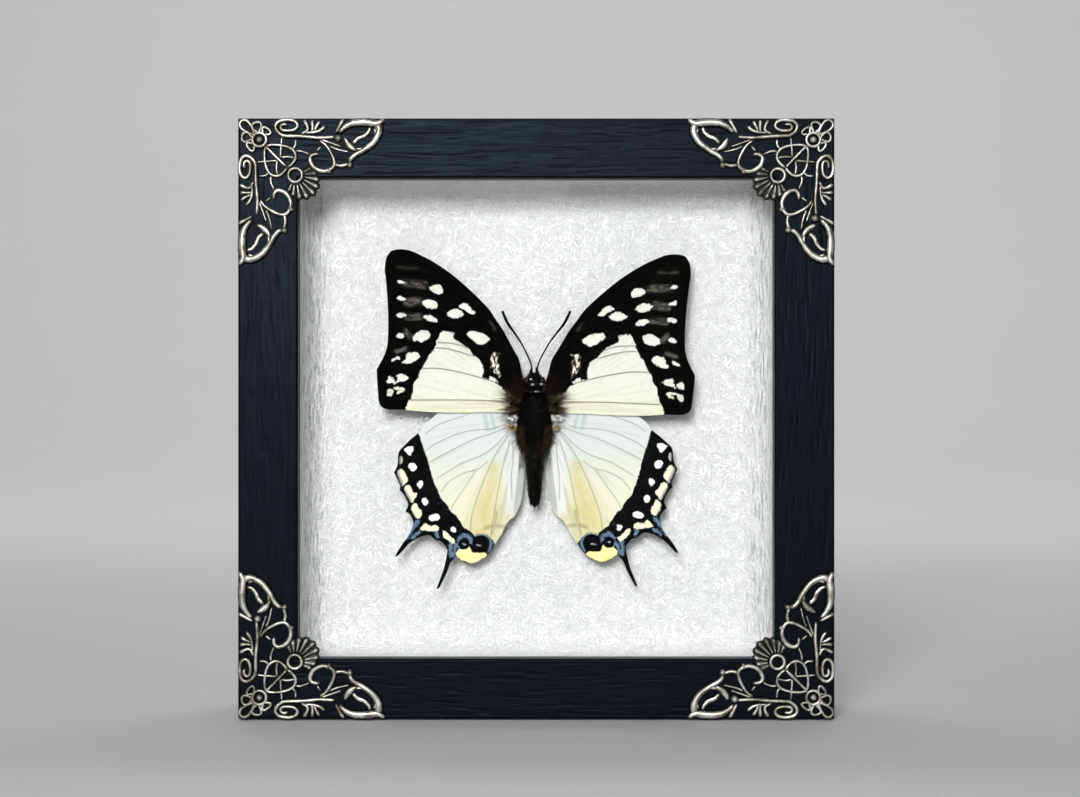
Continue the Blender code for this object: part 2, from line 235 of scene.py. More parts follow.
class Shape:
    """Points, faces and point values gathered for one mesh."""

    def __init__(self):
        self.points = []
        self.faces = []
        self.values = {}
        self.count = 0

    def add(self, points, faces, **values):
        """Add points (n, 3) with face arrays that count from their first point."""
        points = np.asarray(points, float).reshape(-1, 3)
        self.points.append(points)
        for face in faces:
            self.faces.append(np.asarray(face, int) + self.count)
        for key, value in values.items():
            value = np.broadcast_to(np.asarray(value, float), (len(points),) + np.shape(value)[1:])
            self.values.setdefault(key, []).append(value)
        self.count += len(points)

    def build(self, name, material, slot, replaces=(), uv=None, sharp=None):
        """Make the mesh object; with a slot it rides on the body and stands for those nodes."""
        mesh = bpy.data.meshes.new(name)
        points = np.concatenate(self.points)
        sizes = np.concatenate([np.full(len(f), f.shape[1]) for f in self.faces])
        corners = np.concatenate([f.reshape(-1) for f in self.faces])
        mesh.vertices.add(len(points))
        mesh.vertices.foreach_set("co", points.astype(np.float32).reshape(-1))
        mesh.loops.add(len(corners))
        mesh.loops.foreach_set("vertex_index", corners.astype(np.int32))
        mesh.polygons.add(len(sizes))
        starts = np.concatenate([[0], np.cumsum(sizes)[:-1]])
        mesh.polygons.foreach_set("loop_start", starts.astype(np.int32))
        mesh.polygons.foreach_set("loop_total", sizes.astype(np.int32))
        mesh.update(calc_edges=True)
        solid = bmesh.new()
        solid.from_mesh(mesh)
        bmesh.ops.recalc_face_normals(solid, faces=solid.faces)
        solid.to_mesh(mesh)
        solid.free()
        for key, parts in self.values.items():
            data = np.concatenate(parts).astype(np.float32)
            if data.ndim == 2:
                full = np.ones((len(data), 4), np.float32)
                full[:, :3] = data
                layer = mesh.attributes.new(key, "FLOAT_COLOR", "POINT")
                layer.data.foreach_set("color", full.reshape(-1))
            else:
                layer = mesh.attributes.new(key, "FLOAT", "POINT")
                layer.data.foreach_set("value", data)
        if uv is not None:
            order = np.empty(len(mesh.loops), np.int32)
            mesh.loops.foreach_get("vertex_index", order)
            layer = mesh.uv_layers.new(name="length")
            layer.data.foreach_set("uv", np.asarray(uv, np.float32)[order].reshape(-1))
        mesh.materials.append(material)
        mesh.shade_smooth()
        if sharp is not None:
            mesh.set_sharp_from_angle(angle=sharp)
        piece = bpy.data.objects.new(name, mesh)
        bpy.context.scene.collection.objects.link(piece)
        if slot is None:
            return piece
        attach(piece, BODY)
        if replaces:
            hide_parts(*replaces)
        return piece


def bead(shape, path, width, height, place, values, sides=8, closed=False):
    """A half-round bead carried along a flat path.

    Each section is half an ellipse: across = width/2 * cos(t), up = height * sin(t), with t
    from 0 to pi, and the ends shrink to a round. place(points, up) puts flat points and
    their height into space; values(points, crest) gives the point values, where crest is
    the sine, 0 at the foot and 1 along the top.
    """
    path = np.asarray(path, float)
    count = len(path)
    share = np.linspace(0, 1, count)
    width = np.interp(share, np.linspace(0, 1, np.size(width)), np.atleast_1d(width))
    height = np.interp(share, np.linspace(0, 1, np.size(height)), np.atleast_1d(height))
    if closed:
        tangent = np.roll(path, -1, 0) - np.roll(path, 1, 0)
    else:
        tangent = np.gradient(path, axis=0)
        length = np.concatenate([[0.0], np.cumsum(np.linalg.norm(np.diff(path, axis=0), axis=1))])
        near = np.minimum(length, length[-1] - length) / np.maximum(width / 2, 1e-9)
        shrink = np.sqrt(np.clip(1 - (1 - np.clip(near, 0, 1)) ** 2, 0.02, 1))
        width = width * shrink
        height = height * (0.3 + 0.7 * shrink)
    tangent /= np.maximum(np.linalg.norm(tangent, axis=1, keepdims=True), 1e-12)
    normal = np.stack([-tangent[:, 1], tangent[:, 0]], axis=1)
    t = np.linspace(0.0, math.pi, sides + 1)
    flat = path[:, None, :] + normal[:, None, :] * (width[:, None] / 2 * np.cos(t))[..., None]
    flat = flat.reshape(-1, 2)
    up = (height[:, None] * np.sin(t)).reshape(-1)
    ring = sides + 1
    faces = [grid_quads(count, ring, wrap_rows=closed, wrap_columns=True)]
    if not closed:
        faces.append(np.arange(ring)[None, ::-1])
        faces.append((np.arange(ring) + (count - 1) * ring)[None, :])
    crest = np.broadcast_to(np.sin(t), (count, ring)).reshape(-1)
    shape.add(place(flat, up), faces, **values(flat, crest))


def closed_surface(shape, rings, **values):
    """Skin a stack of rings (count, around, 3) and close both ends with one face each."""
    count, around = rings.shape[:2]
    faces = [grid_quads(count, around, wrap_columns=True), np.arange(around)[None, ::-1],
             (np.arange(around) + (count - 1) * around)[None, :]]
    shape.add(rings, faces, **values)


# ---------------------------------------------------------------- materials

def stained_wood(look):
    """Open-pored wood, stained black and waxed to a satin.

    To the eye: blue-black, with finer and darker pores in streaks along each rail.
    """
    material, tree, shader = new_material("black stained open-pored wood, satin")
    place = add_node(tree, "ShaderNodeUVMap", {"uv_map": "length"}).outputs["UV"]
    streak_place = add_node(tree, "ShaderNodeMapping", Vector=place, Scale=(0.05, 1.0, 1.0))
    pore_place = add_node(tree, "ShaderNodeMapping", Vector=place, Scale=(0.035, 1.0, 1.0))
    streak = noise(tree, streak_place.outputs[0], 1.4, detail=5.0, roughness=0.6)
    pore = noise(tree, pore_place.outputs[0], 0.32, detail=2.0)
    open_pore = ramp(tree, pore, 0.56, 0.68)
    tone = blend_color(tree, ramp(tree, streak, 0.35, 0.65), look.wood_dark, look.wood_light)
    color = blend_color(tree, open_pore, tone, "#050608")
    height = maths(tree, "SUBTRACT", maths(tree, "MULTIPLY", streak, 0.5), open_pore)
    set_shader(tree, shader, Base_Color=color, Roughness=ramp(tree, streak, 0.3, 0.7, 0.46, 0.38),
               Specular_IOR_Level=0.11,
               Specular_Tint=rgba("#c2d8f6"), Normal=bump(tree, height, 0.04 * MM, 0.55))
    return material


def fibre_paper(look):
    """Handmade mulberry paper: white, soft, with a felt of short fibres across it.

    To the eye: a matte white with a fine criss-cross relief and no gloss; painted shade greys its creases
    in the coves and on the top wall.
    """
    material, tree, shader = new_material("white mulberry paper, felted")
    felt = None
    for turn in (0.2, 0.9, 1.7, 2.5):
        place = tree.nodes.new("ShaderNodeTexCoord").outputs["Object"]
        turned = add_node(tree, "ShaderNodeMapping", {"vector_type": "TEXTURE"}, Vector=place,
                          Rotation=(0.0, turn, 0.0), Scale=(6.0, 1.0, 1.0)).outputs["Vector"]
        strand = ramp(tree, noise(tree, turned, 0.5, detail=2.0), 0.5, 0.68)
        felt = strand if felt is None else maths(tree, "MAXIMUM", felt, strand)
    pulp = noise(tree, object_vector(tree), 2.4, detail=5.0, roughness=0.65)
    crease_place = object_vector(tree, (1.0, 1.0, 0.16))
    crease_with_painted_shade = maths(tree, "MULTIPLY", noise(tree, crease_place, 0.7, detail=3.0), attribute(tree, "bend"))
    height = maths(tree, "ADD", felt, maths(tree, "MULTIPLY", pulp, 0.9))
    height = maths(tree, "ADD", height, maths(tree, "MULTIPLY", crease_with_painted_shade, 6.0))
    color = blend_color(tree, ramp(tree, pulp, 0.3, 0.7), "#d9dbda", look.paper)
    color = blend_color(tree, felt, color, "#f8f8f7")
    # painted shade: the creases are greyed, most in the side coves and along the top wall, where the bend
    # value is high
    color = blend_color(tree, ramp(tree, crease_with_painted_shade, 0.46, 0.66, 0.0, 0.45), color, "#8f979b")
    set_shader(tree, shader, Base_Color=color, Roughness=0.72, Specular_IOR_Level=0.3,
               Normal=bump(tree, height, 0.3 * MM, 1.0))
    return material


def loose_fibre():
    """Long mulberry fibres on the paper's face: a little whiter and silkier than the pulp."""
    material, tree, shader = new_material("white mulberry fibre, silky")
    tone = noise(tree, object_vector(tree), 3.0)
    set_shader(tree, shader, Base_Color=blend_color(tree, tone, "#f0f1f1", "#fafafa"),
               Roughness=0.5, Specular_IOR_Level=0.5)
    return material


def clear_glass():
    """Float glass with a low-reflection coat: clear, its edge a faint green."""
    material, tree, shader = new_material("clear float glass, low reflection")
    speck = noise(tree, object_vector(tree), 30.0)
    set_shader(tree, shader, Base_Color=blend_color(tree, speck, "#fdfffe", "#ffffff"),
               Roughness=0.0, IOR=1.1, Transmission_Weight=1.0)
    return material


def antique_silver(look):
    """Cast zinc, silver plated, blackened and rubbed back.

    To the eye: warm bright crests, and black left in every recess and along each foot.
    """
    material, tree, shader = new_material("antique silver plate, rubbed")
    place = object_vector(tree)
    grain = noise(tree, place, 0.5, detail=3.0)
    worn = maths(tree, "ADD", attribute(tree, "crest"), maths(tree, "MULTIPLY", grain, 0.5))
    bright = ramp(tree, worn, 0.88, 1.2)
    tarnish = noise(tree, place, 3.0)
    silver = blend_color(tree, ramp(tree, tarnish, 0.35, 0.7), look.silver, "#8b8778")
    color = blend_color(tree, bright, "#080706", silver)
    set_shader(tree, shader, Base_Color=color, Metallic=ramp(tree, bright, 0.0, 1.0, 0.2, 0.76),
               Roughness=ramp(tree, grain, 0.3, 0.7, 0.3, 0.5),
               Normal=bump(tree, grain, 0.05 * MM, 0.6))
    return material


def plated_steel():
    """Zinc plated mild steel, rolled: a bright warm grey with fine drawn lines."""
    material, tree, shader = new_material("zinc plated steel, rolled")
    lines = noise(tree, object_vector(tree, (0.06, 1.0, 1.0)), 0.3, detail=3.0)
    set_shader(tree, shader, Base_Color=blend_color(tree, lines, "#a59e8c", "#cfc9b8"),
               Metallic=1.0, Roughness=ramp(tree, lines, 0.3, 0.7, 0.28, 0.42),
               Normal=bump(tree, lines, 0.02 * MM, 0.4))
    return material


def hardboard():
    """Black paper-faced hardboard: dead matte, with the felt's faint mottling."""
    material, tree, shader = new_material("black faced hardboard, matte")
    mottle = noise(tree, object_vector(tree), 0.9, detail=4.0, roughness=0.6)
    set_shader(tree, shader, Base_Color=blend_color(tree, mottle, "#0e0e0f", "#222223"),
               Roughness=0.82, Specular_IOR_Level=0.3, Normal=bump(tree, mottle, 0.08 * MM, 0.7))
    return material


def white_foam():
    """Closed-cell polyethylene foam: white, with cells that just show."""
    material, tree, shader = new_material("white polyethylene foam, cut")
    cells = noise(tree, object_vector(tree), 0.5, detail=1.0)
    set_shader(tree, shader, Base_Color=blend_color(tree, cells, "#dcdcda", "#f4f4f2"),
               Roughness=0.8, Normal=bump(tree, cells, 0.1 * MM, 0.5))
    return material


def forewing_scales(look):
    """Forewing scales: matte soot black, and a satin cream field with white spots.

    The point values say how far, in millimetres, a place lies inside each marking.
    """
    material, tree, shader = new_material("butterfly wing scales, black and cream")
    place = object_vector(tree)
    ragged = maths(tree, "MULTIPLY", maths(tree, "SUBTRACT", noise(tree, place, 0.55, 3.0), 0.5), 1.3)
    grain = noise(tree, place, 0.16, detail=1.0)
    flat_place = object_vector(tree, (0.45, 1.0, 1.0))
    streaks = noise(tree, object_vector(tree, (0.3, 1.0, 1.0)), 0.9, 4.0)
    soot = blend_color(tree, ramp(tree, streaks, 0.48, 0.72), "#010100", look.wing_black)
    worn = ramp(tree, noise(tree, flat_place, 0.7, 3.0), 0.4, 0.6, 0.15, 1.0)
    dusk = maths(tree, "MULTIPLY", attribute(tree, "dusk"), worn)
    soot = blend_color(tree, dusk, soot, "#55524a")
    cream = blend_color(tree, attribute(tree, "warm"), look.wing_white, look.wing_cream)
    cream = blend_color(tree, ramp(tree, grain, 0.25, 0.75, 0.0, 0.12), cream, "#b9b8a8")
    mottle = ramp(tree, noise(tree, place, 1.6, 5.0, 0.7), 0.5, 0.75, 0.0, 0.22)
    cream = blend_color(tree, mottle, cream, "#9a9b94")
    cream = blend_color(tree, ramp(tree, attribute(tree, "vein"), 0.3, 0.04, 0.0, 0.75),
                        cream, "#5a5648")
    cream = blend_color(tree, ramp(tree, attribute(tree, "ray"), 0.5, 0.85, 0.0, 0.3), cream, "#a9a895")
    pale = marking(tree, "pale", ragged, -0.05, 0.09)
    color = blend_color(tree, pale, soot, cream)
    cell = maths(tree, "ADD", attribute(tree, "cell"), maths(tree, "MULTIPLY", ragged, 1.8))
    rubbed = noise(tree, object_vector(tree, (1.0, 1.0, 0.4)), 0.5, 4.0)
    patch = blend_color(tree, ramp(tree, rubbed, 0.42, 0.58), "#2a1f15", "#e6e3d6")
    color = blend_color(tree, ramp(tree, cell, -0.2, 0.3), color, patch)
    root = maths(tree, "MULTIPLY", attribute(tree, "root"),
                 ramp(tree, noise(tree, place, 0.5, 3.0), 0.3, 0.6))
    color = blend_color(tree, root, color, "#120b06")
    set_shader(tree, shader, Base_Color=color, Roughness=ramp(tree, pale, 0.0, 1.0, 0.8, 0.6),
               Specular_IOR_Level=0.03, Normal=bump(tree, grain, 0.03 * MM, 0.5))
    return material


def hindwing_scales(look):
    """Hindwing scales: pearl to cream, an ochre stain, and a black border with spots.

    To the eye: satin, with steel-blue dusting on the tails and about the two eyespots.
    """
    material, tree, shader = new_material("butterfly wing scales, pearl and border")
    place = object_vector(tree)
    ragged = maths(tree, "MULTIPLY", maths(tree, "SUBTRACT", noise(tree, place, 0.5, 3.0), 0.5), 1.0)
    grain = noise(tree, place, 0.16, detail=1.0)
    field = blend_color(tree, attribute(tree, "cool"), look.wing_cream, "#c9cfd2")
    stain = maths(tree, "MULTIPLY", attribute(tree, "ochre"),
                  ramp(tree, noise(tree, place, 2.2, 3.0), 0.2, 0.7, 0.6, 1.0))
    field = blend_color(tree, stain, field, "#c2b366")
    field = blend_color(tree, attribute(tree, "dull"), field, "#a5afb5")
    # the folded inner margin is grey-white; its darker grey streaks along the rays are painted shade of
    # the fold's creases
    crease_with_painted_shade = blend_color(tree, ramp(tree, attribute(tree, "ray"), 0.45, 0.75), "#d9dbd8", "#b2b5b3")
    field = blend_color(tree, attribute(tree, "fold"), field, crease_with_painted_shade)
    field = blend_color(tree, ramp(tree, attribute(tree, "vein"), 0.26, 0.05, 0.0, 0.5),
                        field, "#74746b")
    field = blend_color(tree, ramp(tree, grain, 0.25, 0.75, 0.0, 0.1), field, "#c4c3b0")
    field = blend_color(tree, ramp(tree, attribute(tree, "ray"), 0.5, 0.85, 0.0, 0.34), field, "#a8a791")
    smudge = maths(tree, "MULTIPLY", attribute(tree, "smudge"), 0.55)
    field = blend_color(tree, smudge, field, "#8a7f58")
    band = marking(tree, "band", ragged, -0.06, 0.1)
    soot = blend_color(tree, noise(tree, place, 2.0, 4.0), "#010102", "#08080b")
    fleck = maths(tree, "MULTIPLY", ramp(tree, noise(tree, place, 0.7, 2.0), 0.6, 0.72),
                  ramp(tree, attribute(tree, "band"), 3.2, 1.2))
    soot = blend_color(tree, maths(tree, "MULTIPLY", fleck, 0.5), soot, "#50545e")
    color = blend_color(tree, band, field, soot)
    steel = blend_color(tree, noise(tree, place, 0.7, 3.0), "#2c3c52", "#7b93ab")
    blue = maths(tree, "ADD", attribute(tree, "blue"), maths(tree, "MULTIPLY", ragged, 1.6))
    color = blend_color(tree, ramp(tree, blue, -0.25, 0.3), color, steel)
    spot = marking(tree, "spot", ragged, -0.05, 0.08)
    color = blend_color(tree, spot, color, "#e9e9e6")
    shade = blend_color(tree, ramp(tree, attribute(tree, "rim"), 1.5, 0.35), "#dedcc4", "#66676f")
    lunule = marking(tree, "lunule", ragged, -0.05, 0.1)
    color = blend_color(tree, lunule, color, shade)
    yellow = marking(tree, "yellow", ragged, -0.05, 0.1)
    lemon = blend_color(tree, noise(tree, place, 1.5, 3.0), "#ddd27e", "#ebe6b4")
    color = blend_color(tree, yellow, color, lemon)
    eye = ramp(tree, attribute(tree, "eye"), -0.05, 0.1)
    color = blend_color(tree, eye, color, "#030304")
    lilac = marking(tree, "lilac", ragged, -0.1, 0.15)
    color = blend_color(tree, lilac, color, "#b4b9cc")
    set_shader(tree, shader, Base_Color=color, Roughness=ramp(tree, band, 0.0, 1.0, 0.55, 0.75),
               Specular_IOR_Level=0.04, Normal=bump(tree, grain, 0.03 * MM, 0.5))
    return material


def tinted_hair(name, roughness):
    """Fine insect hair; its colour is a value on each point, its sheen a low satin."""
    material, tree, shader = new_material(name)
    tint = add_node(tree, "ShaderNodeAttribute", {"attribute_name": "tint"}).outputs["Color"]
    mottle = noise(tree, object_vector(tree), 0.8)
    dark = blend_color(tree, ramp(tree, mottle, 0.38, 0.62, 0.0, 0.75), tint, "#000000")
    set_shader(tree, shader, Base_Color=dark, Roughness=roughness, Specular_IOR_Level=0.02)
    return material


def chitin(look):
    """Dried chitin under fine scales: near black, with a dull satin and a pitted skin."""
    material, tree, shader = new_material("insect chitin, dull satin")
    pits = noise(tree, object_vector(tree), 0.3, detail=3.0)
    set_shader(tree, shader, Base_Color=blend_color(tree, pits, "#020202", look.body),
               Roughness=0.6, Specular_IOR_Level=0.06, Normal=bump(tree, pits, 0.08 * MM, 0.8))
    return material


def compound_eye():
    """Compound eye, dried: dark brown and glossy, with facets that just show."""
    material, tree, shader = new_material("compound eye, glossy brown")
    facets = add_node(tree, "ShaderNodeTexVoronoi", Vector=object_vector(tree), Scale=9000.0)
    set_shader(tree, shader,
               Base_Color=blend_color(tree, facets.outputs["Distance"], "#1c0f08", "#090403"),
               Roughness=0.25, Normal=bump(tree, facets.outputs["Distance"], 0.03 * MM, 0.5))
    return material


def pale_floor():
    """Studio paper: plain, pale and matte."""
    material, tree, shader = new_material("pale studio paper, matte")
    tone = noise(tree, object_vector(tree), 400.0)
    set_shader(tree, shader, Base_Color=blend_color(tree, tone, "#d6d7d7", "#d9dada"),
               Roughness=0.9, Specular_IOR_Level=0.1)
    return material


# ---------------------------------------------------------------- the box

EDGE = 0.7 * MM                    # eased edges of the rails
MITRE_GAP = 0.06 * MM


def rail_section():
    """The rail's closed section as (inset from the outer edge, y), with the face finely cut."""
    step = HALF_WIDTH - RABBET_X
    arc = np.linspace(0.0, math.pi / 2, 7)
    outer = np.stack([EDGE - EDGE * np.cos(arc), FRONT_Y + EDGE - EDGE * np.sin(arc)], axis=1)
    face = np.linspace(EDGE, RAIL_FACE - EDGE, 58)[1:-1]
    face = np.stack([face, np.full(len(face), FRONT_Y)], axis=1)
    inner = np.stack([RAIL_FACE - EDGE + EDGE * np.sin(arc),
                      FRONT_Y + EDGE - EDGE * np.cos(arc)], axis=1)
    side = np.linspace(LIP_BACK_Y, FRONT_Y + EDGE, 5)[:-1]
    lip = np.stack([np.full(4, RAIL_FACE), side[::-1]], axis=1)
    back = np.array([[step, LIP_BACK_Y], [step, BACK_Y - 0.3 * MM], [step - 0.3 * MM, BACK_Y],
                     [0.5 * MM, BACK_Y], [0.0, BACK_Y - 0.5 * MM]])
    flank = np.linspace(BACK_Y - 0.5 * MM, FRONT_Y + EDGE, 26)[1:-1]
    flank = np.stack([np.zeros(len(flank)), flank], axis=1)
    return np.vstack([outer, face, inner, lip, back, flank])


def make_rail(name, quarter_turns, material, depth):
    """A mitred rail: its section carried from mitre to mitre.

    A point at inset w runs from -(half length - w) to +(half length - w). The face sinks by
    depth where stretched noise says that a pore is open.
    """
    upright = quarter_turns % 2 == 1
    half_length = MIDDLE_Z if upright else HALF_WIDTH
    half_span = HALF_WIDTH if upright else MIDDLE_Z
    section = rail_section()
    inset, y = section[:, 0], section[:, 1]
    share = np.linspace(-1.0, 1.0, 240)[:, None]
    along = share * (half_length - inset - MITRE_GAP)[None, :]
    skin = np.cumsum(np.concatenate([[0.0], np.linalg.norm(np.diff(section, axis=0), axis=1)]))
    seed = 11 + quarter_turns
    wander = value_noise(along, skin[None, :], (30 * MM, 5 * MM), seed) * 1.2 * MM
    across = skin[None, :] + wander
    pore = smooth_step(value_noise(across, along, (0.5 * MM, 7 * MM), seed + 20), 0.30, 0.75)
    plane = value_noise(across, along, (1.6 * MM, 26 * MM), seed + 40)
    sink = depth * pore + 0.025 * MM * (plane + 1.0)
    on_face = ((inset > EDGE) & (inset < RAIL_FACE - EDGE) & (y < FRONT_Y + 0.01 * MM))[None, :]
    on_side = ((inset < 0.01 * MM) & (y > FRONT_Y + EDGE))[None, :]
    level = np.where(on_face, y[None, :] + sink, y[None, :])
    spread = half_span - inset[None, :] - np.where(on_side, sink, 0.0)
    turn = quarter_turns * math.pi / 2
    points = np.stack([along * math.cos(turn) - spread * math.sin(turn), level,
                       MIDDLE_Z + along * math.sin(turn) + spread * math.cos(turn)], axis=-1)
    shape = Shape()
    closed_surface(shape, points)
    uv = np.stack([along + seed, np.broadcast_to(skin, along.shape)], axis=-1).reshape(-1, 2)
    return shape.build(name, material, "stained_wood", (name.replace("_wood", ""),), uv=uv,
                       sharp=math.radians(50))


TRAY_WALL = 1.2 * MM
TRAY_COVE = 6.0 * MM
FLAT_X = TRAY_X - TRAY_WALL - TRAY_COVE
FLAT_Z = TRAY_Z - TRAY_WALL - TRAY_COVE
COVE_LENGTH = TRAY_COVE * math.pi / 2
WALL_LENGTH = PAPER_Y - TRAY_COVE - TRAY[0].y


def fold(distance, flat):
    """Where paper that far from the centre ends up: (position, rise, outward lean of its face)."""
    past = np.maximum(np.abs(distance) - flat, 0.0)
    angle = np.minimum(past / TRAY_COVE, math.pi / 2)
    straight = np.maximum(past - COVE_LENGTH, 0.0)
    reach = np.minimum(np.abs(distance), flat) + TRAY_COVE * np.sin(angle)
    rise = TRAY_COVE * (1 - np.cos(angle)) + straight
    return np.sign(distance) * reach, rise, np.sign(distance) * np.sin(angle)


def on_paper(a, b, up):
    """Points on the tray's inner skin: a and b are measured along the paper from its centre."""
    x, rise_x, lean_x = fold(a, FLAT_X)
    z, rise_z, lean_z = fold(b, FLAT_Z)
    rise = np.maximum(rise_x, rise_z)
    lean = np.sqrt(np.clip(1 - lean_x ** 2 - lean_z ** 2, 0.0, 1.0))
    return np.stack([x - lean_x * up, PAPER_Y - rise - lean * up, MIDDLE_Z + z - lean_z * up], axis=-1)


def make_tray(material, crinkle):
    """The lined tray as rings about its centre.

    Flat rings grow as rectangles, then the cove turns each side by a quarter circle and the
    wall runs to the rim. The inner skin is lifted by two scales of crinkle.
    """
    side = np.linspace(-1.0, 1.0, 111)[:-1]
    ones = np.ones_like(side)
    unit = np.concatenate([np.stack([side, -ones], 1), np.stack([ones, side], 1),
                           np.stack([-side, ones], 1), np.stack([-ones, -side], 1)])
    flat = np.linspace(0.004, 1.0, 74)
    past = np.concatenate([np.linspace(0, COVE_LENGTH, 15)[1:],
                           COVE_LENGTH + np.linspace(0, WALL_LENGTH, 9)[1:]])
    a = np.concatenate([flat[:, None] * FLAT_X * unit[:, 0],
                        unit[:, 0] * FLAT_X + np.zeros((len(past), 1))])
    b = np.concatenate([flat[:, None] * FLAT_Z * unit[:, 1],
                        unit[:, 1] * FLAT_Z + np.zeros((len(past), 1))])
    far = np.concatenate([np.zeros(len(flat)), past])[:, None]
    angle = np.minimum(far / TRAY_COVE, math.pi / 2)
    reach = TRAY_COVE * np.sin(angle)
    rise = TRAY_COVE * (1 - np.cos(angle)) + np.maximum(far - COVE_LENGTH, 0.0)
    grow_x = 1 + reach / FLAT_X
    grow_z = 1 + reach / FLAT_Z
    x, z = a * grow_x, b * grow_z
    coarse = value_noise(x + rise, z - rise, (2.6 * MM, 2.6 * MM), 5)
    fine = value_noise(x - rise, z + rise, (1.1 * MM, 1.1 * MM), 6)
    lift = crinkle * (0.6 * coarse + 0.4 * fine + 1.0) / 2
    toward = np.cos(angle)
    scale = 1 - lift * np.sin(angle) / FLAT_X
    inner = np.stack([x * scale, PAPER_Y - rise - lift * toward, MIDDLE_Z + z * scale], axis=-1)
    rim = inner[-1].copy()
    rim[:, 1] = TRAY[0].y
    outer_x = unit[:, 0] * TRAY_X
    outer_z = MIDDLE_Z + unit[:, 1] * TRAY_Z
    front = np.stack([outer_x, np.full(len(unit), TRAY[0].y), outer_z], axis=-1)
    back = front.copy()
    back[:, 1] = TRAY[1].y
    rings = np.concatenate([inner, rim[None], front[None], back[None]])
    # bend: 1 where the paper turns into the side coves and 0.4 over the top cove and wall; the paper's
    # finish paints shade into the creases by this value
    bend = smooth_step(np.abs(rings[..., 0]), FLAT_X - 3.0 * MM, FLAT_X + 2.0 * MM)
    painted_shade_at_top = smooth_step(rings[..., 2], MIDDLE_Z + FLAT_Z - 1.0 * MM, MIDDLE_Z + FLAT_Z)
    bend = np.maximum(bend, 0.4 * painted_shade_at_top)
    shape = Shape()
    closed_surface(shape, rings, bend=bend.reshape(-1))
    return shape.build("paper_lining", material, "fibre_paper", ("paper_tray",), sharp=math.radians(60))


def make_fibres(material, count, seed):
    """Long fibres lying on the paper: thin half-round tubes along wandering lines.

    Each line starts anywhere on the unfolded paper and turns by a slow random curl; its
    section is three points across and one up.
    """
    rng = np.random.default_rng(seed)
    steps = 14
    reach_x = FLAT_X + COVE_LENGTH + WALL_LENGTH * 0.9
    reach_z = FLAT_Z + COVE_LENGTH + WALL_LENGTH * 0.9
    length = rng.gamma(2.2, 3.2, count) * MM + 2 * MM
    heading = rng.uniform(0, 2 * math.pi, count)
    curl = rng.normal(0, 1.3, count)
    wave = rng.normal(0, 0.9, count)
    phase = rng.uniform(0, 2 * math.pi, count)
    t = np.linspace(0, 1, steps)
    angle = (heading[:, None] + curl[:, None] * t + wave[:, None] * np.sin(5 * t + phase[:, None]))
    pace = length[:, None] / (steps - 1)
    a = rng.uniform(-reach_x, reach_x, count)[:, None] + np.cumsum(np.cos(angle) * pace, axis=1)
    b = rng.uniform(-reach_z, reach_z, count)[:, None] + np.cumsum(np.sin(angle) * pace, axis=1)
    inside = ((np.abs(a) < reach_x) & (np.abs(b) < reach_z)
              & ~((np.abs(a) > FLAT_X) & (np.abs(b) > FLAT_Z))).all(axis=1)
    a, b, angle = a[inside], b[inside], angle[inside]
    thick = rng.uniform(0.04, 0.1, len(a)) * MM
    taper = np.sin(math.pi * np.linspace(0.06, 0.94, steps)) ** 0.5
    half = thick[:, None] * taper
    offset_a, offset_b = -np.sin(angle) * half, np.cos(angle) * half
    ups = (0.02 * MM, 0.9, 0.02 * MM)
    edges = []
    for side, up in zip((-1, 0, 1), ups):
        height = 0.1 * MM + (half * up if side == 0 else up) + 0.06 * MM
        edges.append(on_paper(a + side * offset_a, b + side * offset_b, height))
    points = np.stack(edges, axis=2)
    shape = Shape()
    quads = grid_quads(steps, 3, wrap_columns=True)
    caps = np.array([[2, 1, 0], [0, 1, 2]]) + np.array([[0], [(steps - 1) * 3]])
    starts = (np.arange(len(a)) * steps * 3)[:, None, None]
    shape.add(points, [(quads[None] + starts).reshape(-1, 4), (caps[None] + starts).reshape(-1, 3)])
    return shape.build("paper_fibres", material, "fibre_paper")


